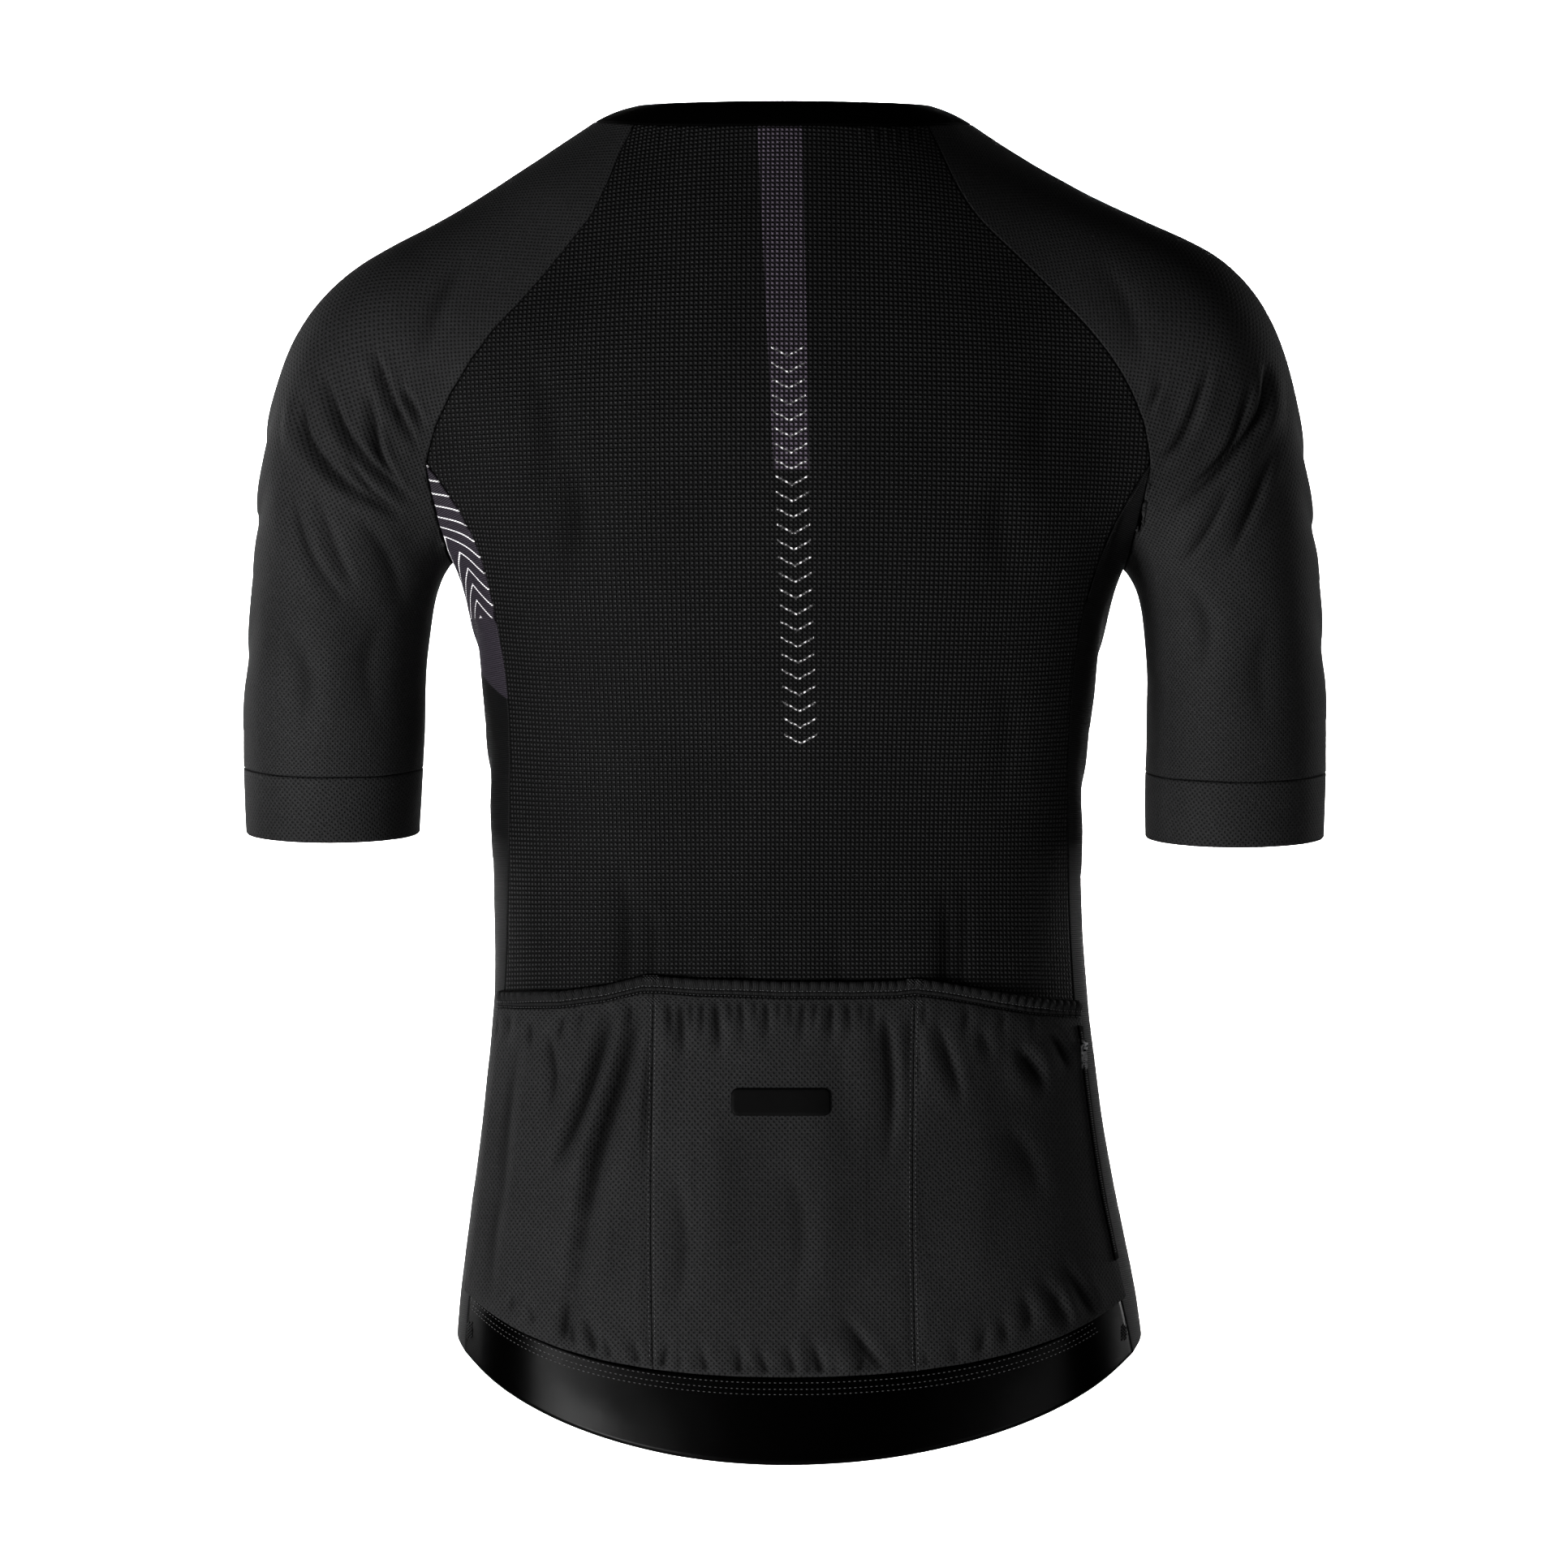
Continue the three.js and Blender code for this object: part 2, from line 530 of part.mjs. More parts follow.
// Starts a face's corners so that the diagonal between its two halves runs along a fold, not across it
function foldedAlong(quad, folds) {
  const depth = (point) => foldDepth(folds, point.laid, point.normal);
  const depths = quad.map(depth);
  if (Math.max(...depths) === 0) return quad;
  const middle = { laid: new THREE.Vector3(), normal: new THREE.Vector3() };
  for (const point of quad) {
    middle.laid.addScaledVector(point.laid, 1 / 4);
    middle.normal.addScaledVector(point.normal, 1 / 4);
  }
  const want = 2 * depth(middle);
  const miss = (i) => Math.abs(depths[i] + depths[i + 2] - want);
  return miss(0) <= miss(1) ? quad : [...quad.slice(1), quad[0]];
}

// Puts a face's corners in the order that turns it outwards
function orient(quad) {
  const [a, b, c, d] = quad.map((point) => point.p);
  const turn = c.clone().sub(a).cross(d.clone().sub(b));
  const outwards = quad.reduce((sum, point) => sum.add(point.normal), new THREE.Vector3());
  return turn.dot(outwards) > 0 ? quad : [...quad].reverse();
}

// Seams of one side, from the neck to the hem
const SEAM_STEPS = 6;
const ROW_CLEAR = 4; // rows of the table nearer than this to a mark are left out
function seamsOf(side) {
  const backTop = neckAt(side * neckAngle(side));
  const frontTop = neckAt(side * FRONT_RAGLAN_ANGLE);
  const corner = (face) => facing(face, side * sized(side, ARMHOLE), ARMHOLE.z);
  const seamX = column(SIDE_SEAM, side > 0 ? "left" : "right");
  const at = (face, height) => {
    let z = height(side * seamX(HEM.side));
    for (let k = 0; k < SEAM_STEPS; k++) z = height(side * seamX(z));
    return facing(face, side * seamX(z), z);
  };
  const stretch = (face, from, to, count) => {
    const rows = SIDE_SEAM.filter((row) => row.z < from.z - ROW_CLEAR && row.z > to.z + ROW_CLEAR);
    return seam(rows, side, face, from, to, count);
  };
  const [back, front] = [1, -1].map((face) => {
    const marks = [corner(face), at(face, pocketTop), at(face, bindingFoot)];
    const ends = face > 0 ? [at(face, bandSeam), at(face, backHem)] : frontEnds(at, side);
    marks.push(...ends);
    const counts = [STEPS.flank, STEPS.binding, STEPS.pocket, STEPS.band];
    return counts.map((count, k) => stretch(face, marks[k], marks[k + 1], count));
  });
  const lowest = new THREE.Vector3(side * sized(side, UNDERARM), UNDERARM.y, UNDERARM.z);
  return {
    side,
    backRaglan: seam(BACK_RAGLAN, side, 1, backTop, corner(1), STEPS.raglan),
    frontRaglan: seam(FRONT_RAGLAN, side, -1, frontTop, corner(-1), STEPS.raglan),
    back,
    front,
    under: arc(corner(1), lowest, corner(-1), STEPS.under),
  };
}

// On the front the seam ends at the hem, and has no band
function frontEnds(at, side) {
  const hem = at(-1, frontHem);
  const nearHem = at(-1, (x) => frontHem(x) + HEM_BAND.edge);
  return [nearHem, hem];
}

const joined = (...lines) => lines.flatMap((line, k) => (k === 0 ? line : line.slice(1)));
const left = seamsOf(1);
const right = seamsOf(-1);
// first of all, so that the sleeves and the side panels share these points' facing
clothGrid([left.under, right.under]);

// Neck edges of the pieces
const backColumns = 2 * BACK_STEPS.side + BACK_STEPS.middle;
const backNeck = pinned(neckArc(neckAngle(1), -neckAngle(-1), backColumns), left.backRaglan[0], right.backRaglan[0]);
const zipAngle = Math.PI - ZIP_HALF / NECK.side;
function pinned(line, first, last) {
  return [first, ...line.slice(1, -1), last];
}

// Back panel, in stretches so that the pockets and the hem band follow rows and columns of its points
function acrossBack(row, height) {
  const [from, to] = [left.back[row].at(-1), right.back[row].at(-1)];
  const divider = (side) => {
    const x = side * sized(side, POCKET_DIVIDER);
    return facing(1, x, height(x));
  };
  const [first, second] = [divider(1), divider(-1)];
  return joined(
    levelArc(from, first, 1, height, BACK_STEPS.side),
    levelArc(first, second, 1, height, BACK_STEPS.middle),
    levelArc(second, to, 1, height, BACK_STEPS.side),
  );
}
const pocketLine = acrossBack(0, pocketTop);
const footLine = acrossBack(1, bindingFoot);
const bandLine = acrossBack(2, bandSeam);
const hemLine = acrossBack(3, backHem);
const upperBack = clothGrid(
  patch(backNeck, pocketLine, joined(left.backRaglan, left.back[0]), joined(right.backRaglan, right.back[0])),
);
const bindingBack = clothGrid(patch(pocketLine, footLine, left.back[1], right.back[1]));
const pocketBack = clothGrid(patch(footLine, bandLine, left.back[2], right.back[2]));
const bandBack = clothGrid(patch(bandLine, hemLine, left.back[3], right.back[3]));

// Front panel of one side, from the zip to the front raglan seam and the side seam
function frontGrid(seams) {
  const { side } = seams;
  const neck = pinned(
    neckArc(side * zipAngle, side * FRONT_RAGLAN_ANGLE, STEPS.front),
    neckAt(side * zipAngle),
    seams.frontRaglan[0],
  );
  const outer = joined(seams.frontRaglan, ...seams.front);
  const foot = facing(-1, side * ZIP_HALF, frontHem(0));
  const edgePoints = Array.from({ length: ARC_POINTS * 2 + 1 }, (unused, k) => {
    const z = THREE.MathUtils.lerp(neck[0].z, foot.z, k / (ARC_POINTS * 2));
    return k === 0 ? neck[0] : facing(-1, side * ZIP_HALF, z);
  });
  const edge = evenly(edgePoints, outer.length - 1);
  const hem = levelArc(foot, outer.at(-1), -1, frontHem, STEPS.front);
  return clothGrid(patch(neck, pinned(hem, edge.at(-1), outer.at(-1)), edge, outer));
}
const frontLeft = frontGrid(left);
const frontRight = frontGrid(right);

// Side panel, from the underarm seam to the hem between the back and front side seams. The armhole's curve has
// died out at a level row some way down.
const LEVEL_ROW = 7;
function sideGrid(seams) {
  const { side } = seams;
  const [backLine, frontLine] = [joined(...seams.back), joined(...seams.front)];
  const across = (from, to, z) => {
    const widest = new THREE.Vector3(side * trunk[side > 0 ? "left" : "right"](z), 0, z);
    return arc(from, widest, to, STEPS.under);
  };
  const level = across(backLine[LEVEL_ROW], frontLine[LEVEL_ROW], backLine[LEVEL_ROW].z);
  const hem = across(backLine.at(-1), frontLine.at(-1), HEM.side);
  const cut = LEVEL_ROW + 1;
  const upper = patch(seams.under, level, backLine.slice(0, cut), frontLine.slice(0, cut), "trunk");
  const lower = patch(level, hem, backLine.slice(LEVEL_ROW), frontLine.slice(LEVEL_ROW), "trunk");
  return clothGrid(joined(upper, lower), "trunk");
}

// Sleeve: a strip over the shoulder between the raglan seams, and a tube below the armhole
const OVER_LEVEL = -188; // height of the outside of the arm where the strip meets the tube
const CROWDING = 0.07;
const crowded = (t) => t - CROWDING * Math.sin(2 * Math.PI * t); // finer at both seams than over the shoulder
function sleeveGrids(seams) {
  const { side } = seams;
  const arm = side > 0 ? leftArm : rightArm;
  const outline = side > 0 ? LEFT_ARM : RIGHT_ARM;
  const middle = (name) => outline.find((s) => s.z < ARMHOLE.z)[name];
  const outerPoint = lay(new THREE.Vector3(side * (middle("x") + middle("wide")), middle("y"), OVER_LEVEL));
  const neckBack = seams.backRaglan[0];
  const neckFront = seams.frontRaglan[0];
  const start = side * neckAngle(side);
  const neck = pinned(neckArc(start, side * FRONT_RAGLAN_ANGLE, STEPS.over), neckBack, neckFront);
  const over = arc(seams.backRaglan.at(-1), outerPoint, seams.frontRaglan.at(-1), STEPS.over, crowded);
  const ridge = ridgeLine(side, neck[STEPS.over / 2], over[STEPS.over / 2]);
  const strip = seams.backRaglan.map((point, i) => {
    if (i === 0) return neck;
    if (i === STEPS.raglan) return over;
    return arc(point, ridge[i], seams.frontRaglan[i], STEPS.over, (t) => {
      return THREE.MathUtils.lerp(t, crowded(t), i / STEPS.raglan);
    });
  });
  const mouth = [...over.slice(0, -1), ...[...seams.under].reverse().slice(0, -1)];
  const foot = ringAt(arm, sized(side, CUFF.seam), mouth);
  const tube = ringsBetween(mouth, foot, SLEEVE_STEPS);
  const end = ringAt(arm, sized(side, CUFF.hem), foot);
  const cuff = ringsBetween(foot, end, CUFF_STEPS);
  return { strip: clothGrid(strip, "arm"), tube: clothGrid(tube, "arm"), cuff: clothGrid(cuff, "arm") };
}

// The top line of the shoulder, seen from the front, from the neck to the outside of the arm
const RIDGE_POWER = 0.9;
function ridgeLine(side, from, to) {
  const points = Array.from({ length: ARC_POINTS + 1 }, (unused, k) => {
    const turn = (Math.PI / 2) * (k / ARC_POINTS);
    const guess = new THREE.Vector3(
      THREE.MathUtils.lerp(from.x, to.x, Math.sin(turn) ** RIDGE_POWER),
      THREE.MathUtils.lerp(from.y, to.y, k / ARC_POINTS),
      THREE.MathUtils.lerp(from.z, to.z, 1 - Math.cos(turn)),
    );
    return k === 0 ? from : k === ARC_POINTS ? to : lay(guess);
  });
  return evenly(points, STEPS.raglan);
}

// A closed ring of the sleeve at a height of the arm's axis, with a point below each point of another ring
const RING_POINTS = 240;
function ringAt(arm, height, above) {
  const station = arm.reduce((best, s) => {
    return Math.abs(s.middle.z - height) < Math.abs(best.middle.z - height) ? s : best;
  });
  const centre = station.middle.clone().setZ(height);
  const aboveMiddle = above.reduce((sum, q) => sum.add(q), new THREE.Vector3()).divideScalar(above.length);
  const angles = above.map((q) => Math.atan2(q.y - aboveMiddle.y, q.x - aboveMiddle.x));
  const dense = Array.from({ length: RING_POINTS + 1 }, (unused, k) => {
    const turn = angles[0] + Math.sign(turning(angles)) * 2 * Math.PI * (k / RING_POINTS);
    const [c, s] = [Math.cos(turn), Math.sin(turn)];
    const q = new THREE.Vector3(centre.x + c * station.wide, centre.y + s * station.deep, 0);
    q.z = height - CUFF_TILT * (q.y - centre.y);
    return lay(q, true, "arm");
  });
  const lengths = [0];
  above.slice(1).forEach((q, i) => lengths.push(lengths[i] + q.distanceTo(above[i])));
  const whole = lengths.at(-1) + above.at(-1).distanceTo(above[0]);
  const places = above.map((unused, k) => THREE.MathUtils.lerp(k / above.length, lengths[k] / whole, 0.5));
  return places.map((share) => dense[Math.round(share * RING_POINTS)].clone());
}

// The sense in which a list of angles turns
function turning(angles) {
  return angles.slice(1).reduce((sum, angle, i) => {
    let step = angle - angles[i];
    if (step > Math.PI) step -= 2 * Math.PI;
    if (step < -Math.PI) step += 2 * Math.PI;
    return sum + step;
  }, 0);
}

// Closed rings from one to another, with the first column repeated at the end
function ringsBetween(top, bottom, count) {
  return Array.from({ length: count + 1 }, (unused, i) => {
    const row = top.map((q, j) => {
      if (i === 0) return q;
      if (i === count) return bottom[j];
      return lay(q.clone().lerp(bottom[j], i / count), false, "arm");
    });
    return [...row, row[0]];
  });
}

const sleeveLeft = sleeveGrids(left);
const sleeveRight = sleeveGrids(right);

// Collar: a low band from one side of the zip round the back to the other, leaning in as it rises
function collarGrid() {
  const sleeveNeck = (sleeve) => sleeve.strip[0];
  const foot = [
    ...frontLeft[0].slice(0, -1),
    ...[...sleeveNeck(sleeveLeft)].reverse().slice(0, -1),
    ...upperBack[0].slice(0, -1),
    ...sleeveNeck(sleeveRight).slice(0, -1),
    ...[...frontRight[0]].reverse(),
  ];
  const tops = foot.map(({ p }, k) => {
    const end = k === 0 || k === foot.length - 1;
    const angle = Math.atan2(p.x / NECK.side, p.y / (p.y > 0 ? NECK.back : NECK.front));
    const [s, c] = [Math.sin(angle), Math.cos(angle)];
    const rise = THREE.MathUtils.lerp(COLLAR_RISE.side, c > 0 ? COLLAR_RISE.back : COLLAR_RISE.front, c * c);
    const x = end ? p.x : COLLAR.side * s;
    return new THREE.Vector3(x, (c > 0 ? COLLAR.back : COLLAR.front) * c, neckGuess(angle).z + rise);
  });
  const rows = Array.from({ length: COLLAR_STEPS + 1 }, (unused, i) => {
    const t = i / COLLAR_STEPS;
    return foot.map((point, k) => {
      if (i === 0) return point;
      const q = point.p.clone().lerp(tops[k], t);
      const ahead = foot[Math.min(k + 1, foot.length - 1)].p.clone().sub(foot[Math.max(k - 1, 0)].p);
      const up = tops[k].clone().sub(point.p);
      const own = ahead.cross(up).normalize();
      if (own.dot(point.normal) < 0) own.negate();
      const normal = point.normal.clone().lerp(own, t ** 0.5).normalize();
      q.addScaledVector(own, COLLAR.swell * Math.sin(Math.PI * t));
      return { p: q, laid: q, normal };
    });
  });
  return rows;
}
const collar = collarGrid();

// Front zip: a strip between the two fronts, carried on up the ends of the collar
function zipGrid() {
  const edge = (grid, collarEnd) => [
    ...[...collar].reverse().map(collarEnd).slice(0, -1),
    ...grid.map((row) => row[0]),
  ];
  const leftEdge = edge(frontLeft, (row) => row[0]);
  const rightEdge = edge(frontRight, (row) => row.at(-1));
  return leftEdge.map((point, i) => [point, rightEdge[i]]);
}

// The same surface with more columns, for a piece that lies on a panel
function finer(grid, times) {
  return grid.map((row) =>
    Array.from({ length: (row.length - 1) * times + 1 }, (unused, column) => {
      const i = Math.min(Math.floor(column / times), row.length - 2);
      return { ...between(row[i], row[i + 1], column / times - i), column };
    }),
  );
}

function between(first, second, share) {
  return {
    p: first.p.clone().lerp(second.p, share),
    laid: first.laid.clone().lerp(second.laid, share),
    normal: first.normal.clone().lerp(second.normal, share).normalize(),
  };
}

// Pockets and their gathered binding, on the back panel. The pockets' cloth stands out in soft ridges.
const ON_BACK = CLOTH + GAP;
const pocketGrid = finer(pocketBack, FINER.pocket);
const bindingGrid = finer(bindingBack, FINER.binding);
function ridged(point) {
  const ridge = foldDepth(POCKET_RIDGES, point.laid, point.normal);
  return { near: ridge, far: ridge };
}
const gathered = (point) => ({ near: 0, far: point.column % 2 ? GATHER : 0 });

function pocket(from, to) {
  const columns = pocketGrid.map((row) => row.slice(from * FINER.pocket, to * FINER.pocket + 1));
  return wall(quadsOf(columns), ON_BACK, ON_BACK + CLOTH, ridged, POCKET_RIDGES);
}

// The bare patch on the middle pocket
function patchGrid() {
  return [PATCH.top, PATCH.bottom].map((z) =>
    Array.from({ length: PATCH.columns + 1 }, (unused, k) => {
      const x = THREE.MathUtils.lerp(PATCH.left, PATCH.right, k / PATCH.columns);
      return clothPoint(facing(1, x, z));
    }),
  );
}
const ON_POCKET = ON_BACK + CLOTH + GAP;

// The pocket's zip, a strip beside its right side seam
function pocketZipGrid() {
  return pocketBack.slice(POCKET_ZIP.from, POCKET_ZIP.to + 1).map((row) => {
    const [seamPoint, inner] = [row.at(-1), row.at(-2)];
    const width = seamPoint.p.distanceTo(inner.p);
    return [POCKET_ZIP.inner, POCKET_ZIP.outer].map((away) => between(seamPoint, inner, away / width));
  });
}
const pocketZip = pocketZipGrid();
const frontZip = zipGrid();

// Zip slider: a plate with a bail over it, whose eye the pull's bar turns in. X runs across the zip, Y along it
// and Z outwards, with the bar's axis at Y = 0.
const wasm = await Module();
wasm.setup();

function solid(geometry) {
  geometry.deleteAttribute("normal");
  geometry.deleteAttribute("uv");
  const merged = mergeVertices(geometry);
  const vertProperties = new Float32Array(merged.attributes.position.array);
  const triVerts = new Uint32Array(merged.index.array);
  return new wasm.Manifold(new wasm.Mesh({ numProp: 3, vertProperties, triVerts }));
}

function joinedSolid(first, second) {
  const { vertProperties, triVerts } = solid(first).add(solid(second)).getMesh();
  const geometry = new THREE.BufferGeometry();
  geometry.setAttribute("position", new THREE.BufferAttribute(new Float32Array(vertProperties), 3));
  geometry.setIndex(new THREE.BufferAttribute(new Uint32Array(triVerts), 1));
  geometry.computeVertexNormals();
  return geometry;
}

function extruded(shape, depth) {
  const geometry = new THREE.ExtrudeGeometry(shape, { depth, bevelEnabled: false, curveSegments: 3 });
  return geometry.translate(0, 0, -depth / 2);
}

function roundedBar(shape, half, bottom, top, radius) {
  shape.moveTo(-half + radius, bottom);
  shape.lineTo(half - radius, bottom);
  shape.absarc(half - radius, bottom + radius, radius, -Math.PI / 2, 0);
  shape.lineTo(half, top - radius);
  shape.absarc(half - radius, top - radius, radius, 0, Math.PI / 2);
  shape.lineTo(-half + radius, top);
  shape.absarc(-half + radius, top - radius, radius, Math.PI / 2, Math.PI);
  shape.lineTo(-half, bottom + radius);
  shape.absarc(-half + radius, bottom + radius, radius, Math.PI, 1.5 * Math.PI);
  return shape;
}

const CORNER = { slider: 1.4, pull: 1.2, eye: 0.5 };
const SUNK = 0.2; // how far the bail's legs run into the plate
function sliderGeometry() {
  const { long, wide, base, bail, bore, strap, axis } = SLIDER;
  const outline = roundedBar(new THREE.Shape(), wide / 2, -long / 2, long / 2, CORNER.slider);
  const plate = extruded(outline, base).translate(0, 0, base / 2);
  const arch = new THREE.Shape();
  arch.moveTo(-bail, base - SUNK);
  arch.lineTo(-bore, base - SUNK);
  arch.lineTo(-bore, axis);
  arch.absarc(0, axis, bore, Math.PI, 0, true);
  arch.lineTo(bore, base - SUNK);
  arch.lineTo(bail, base - SUNK);
  arch.lineTo(bail, axis);
  arch.absarc(0, axis, bail, 0, Math.PI);
  const turned = new THREE.Matrix4().makeBasis(
    new THREE.Vector3(0, 1, 0),
    new THREE.Vector3(0, 0, 1),
    new THREE.Vector3(1, 0, 0),
  );
  return joinedSolid(plate, extruded(arch, strap).applyMatrix4(turned));
}

// Pull tab: a flat tab with an eye round the bail, hanging down beside the zip
function pullGeometry(long) {
  const { eye, rim, bar, reach, thick, tilt } = PULL;
  const outline = roundedBar(new THREE.Shape(), eye / 2 + rim, -long, bar, CORNER.pull);
  outline.holes.push(roundedBar(new THREE.Path(), eye / 2, -reach, -bar, CORNER.eye));
  return extruded(outline, thick).rotateX(tilt).translate(0, 0, SLIDER.axis);
}

// Seats a piece in the middle of a strip's face, standing off its points
function seatOn([[a, b], [c, d]], lift) {
  const middle = new THREE.Vector3();
  for (const point of [a, b, c, d]) middle.addScaledVector(point.p, 1 / 4);
  const up = a.p.clone().add(b.p).sub(c.p).sub(d.p).normalize();
  const across = b.p.clone().add(d.p).sub(a.p).sub(c.p);
  const out = across.clone().cross(up).normalize();
  if (out.dot(a.normal) < 0) out.negate();
  return new THREE.Matrix4()
    .makeBasis(up.clone().cross(out), up, out)
    .setPosition(middle.addScaledVector(out, lift));
}

// Materials
const FINISH = {
  body: { color: 0x1c1c1d, roughness: 0.85 },
  sleeve: { color: 0x242425, roughness: 0.8 },
  side: { color: 0x212122, roughness: 0.85 },
  pocket: { color: 0x232324, roughness: 0.7 },
  elastic: { color: 0x060606, roughness: 0.5 },
  collar: { color: 0x050505, roughness: 0.8 },
  zip: { color: 0x0a0a0a, roughness: 0.6 },
  metal: { color: 0x4a4a4c, roughness: 0.35, metalness: 1 },
  patch: { color: 0x0b0b0c, roughness: 0.45 },
};
const finishes = {};
for (const name of Object.keys(FINISH)) finishes[name] = new THREE.MeshStandardMaterial(FINISH[name]);

const jersey = new THREE.Group();
function add(name, geometry, finish, parent = jersey) {
  const mesh = new THREE.Mesh(geometry, finishes[finish]);
  mesh.name = name;
  parent.add(mesh);
}

const backGrids = [upperBack, bindingBack, pocketBack];
add("back_panel", wall(backGrids.flatMap(quadsOf), 0, CLOTH), "body");
add("hem_band", wall(quadsOf(bandBack), 0, ELASTIC), "elastic");
for (const [word, seams, front, sleeve] of [
  ["left", left, frontLeft, sleeveLeft],
  ["right", right, frontRight, sleeveRight],
]) {
  add(`front_${word}`, wall(quadsOf(front), 0, CLOTH), "body");
  add(`side_${word}`, wall(quadsOf(sideGrid(seams)), 0, CLOTH), "side");
  add(`sleeve_${word}`, wall([sleeve.strip, sleeve.tube].flatMap(quadsOf), 0, CLOTH), "sleeve");
  add(`cuff_${word}`, wall(quadsOf(sleeve.cuff), 0, ELASTIC), "sleeve");
}
add("collar", wall(quadsOf(collar), 0, ELASTIC), "collar");

const firstDivider = BACK_STEPS.side;
const secondDivider = BACK_STEPS.side + BACK_STEPS.middle;
add("pocket_left", pocket(0, firstDivider), "pocket");
add("pocket_middle", pocket(firstDivider, secondDivider), "pocket");
add("pocket_right", pocket(secondDivider, backColumns), "pocket");
add("pocket_binding", wall(quadsOf(bindingGrid), ON_BACK, ON_BACK + BINDING, gathered), "pocket");
add("label_patch", wall(quadsOf(patchGrid()), ON_POCKET, ON_POCKET + PATCH.thick, ridged), "patch");

add("front_zip", wall(quadsOf(frontZip), 0, ELASTIC), "zip");
add("pocket_zip", wall(quadsOf(pocketZip), ON_POCKET, ON_POCKET + POCKET_ZIP.thick), "zip");
for (const [word, strip, top] of [
  ["front", frontZip, ELASTIC],
  ["pocket", pocketZip, ON_POCKET + POCKET_ZIP.thick],
]) {
  const seat = new THREE.Group();
  seat.applyMatrix4(seatOn(strip, top + GAP));
  add(`${word}_zip_slider`, sliderGeometry(), "metal", seat);
  add(`${word}_zip_pull`, pullGeometry(PULL_LONG[word]), "metal", seat);
  jersey.add(seat);
}

export default jersey;
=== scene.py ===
import json
import math

import bmesh
import bpy
import numpy as np
from mathutils import Matrix, Vector, geometry, noise
from mathutils.bvhtree import BVHTree

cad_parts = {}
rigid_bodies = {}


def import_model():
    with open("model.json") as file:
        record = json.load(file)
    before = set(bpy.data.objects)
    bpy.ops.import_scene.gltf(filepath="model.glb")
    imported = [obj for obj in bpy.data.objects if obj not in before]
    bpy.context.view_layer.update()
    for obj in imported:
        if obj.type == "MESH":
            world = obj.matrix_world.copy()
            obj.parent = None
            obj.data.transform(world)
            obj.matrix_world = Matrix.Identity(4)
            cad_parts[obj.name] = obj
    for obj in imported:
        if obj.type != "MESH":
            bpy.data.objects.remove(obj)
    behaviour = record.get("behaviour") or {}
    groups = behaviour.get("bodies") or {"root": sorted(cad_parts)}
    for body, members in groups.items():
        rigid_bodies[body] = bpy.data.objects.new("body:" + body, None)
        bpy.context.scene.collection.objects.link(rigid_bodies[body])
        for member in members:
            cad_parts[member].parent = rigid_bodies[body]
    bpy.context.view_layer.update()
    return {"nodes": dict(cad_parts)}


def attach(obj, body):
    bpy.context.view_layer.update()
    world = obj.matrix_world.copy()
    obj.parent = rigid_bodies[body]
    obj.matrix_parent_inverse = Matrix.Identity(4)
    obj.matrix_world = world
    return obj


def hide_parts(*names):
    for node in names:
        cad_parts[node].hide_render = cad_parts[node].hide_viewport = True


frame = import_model()

# The knit cloth, sewn up
# The panels, sleeves, cuffs, collar and hem band are cut from stretch knits and overlocked edge to edge. Here the
# outer face of each is welded to its neighbours along the seams and rounded as one surface before it is cut again.
CUT_PIECES = (
    "back_panel", "hem_band", "front_left", "front_right", "side_left", "side_right",
    "sleeve_left", "sleeve_right", "cuff_left", "cuff_right", "collar", "front_zip",
)
TRUNK_LINE = ((0, 0, 0.03), (0, 0, -0.72))
ARM_LINE = ((0.05, 0, -0.12), (0.2, 0, -0.14), (0.236, -0.008, -0.24), (0.245, -0.03, -0.4))
FOLD_ANGLE = math.radians(48)  # a wall's rim turns by more than this
RIM = 0.0019  # and its faces are narrower than this
HOLE_SIDES = 8  # narrow faces inside the cloth, taken away with the rims, leave holes of up to this many sides
SEAM_WELD = 0.0008
SEAM_HOLD = 0.45  # how strongly the rounding keeps a seam where it is


def middle_line(node):
    if not node.startswith(("sleeve", "cuff")):
        return [Vector(point) for point in TRUNK_LINE]
    side = 1 if node.endswith("left") else -1
    return [Vector((side * x, y, z)) for x, y, z in ARM_LINE]


def from_line(point, line):
    nearest = []
    for start, end in zip(line, line[1:]):
        foot, share = geometry.intersect_point_line(point, start, end)
        nearest.append(point - start.lerp(end, min(max(share, 0), 1)))
    return min(nearest, key=lambda away: away.length)


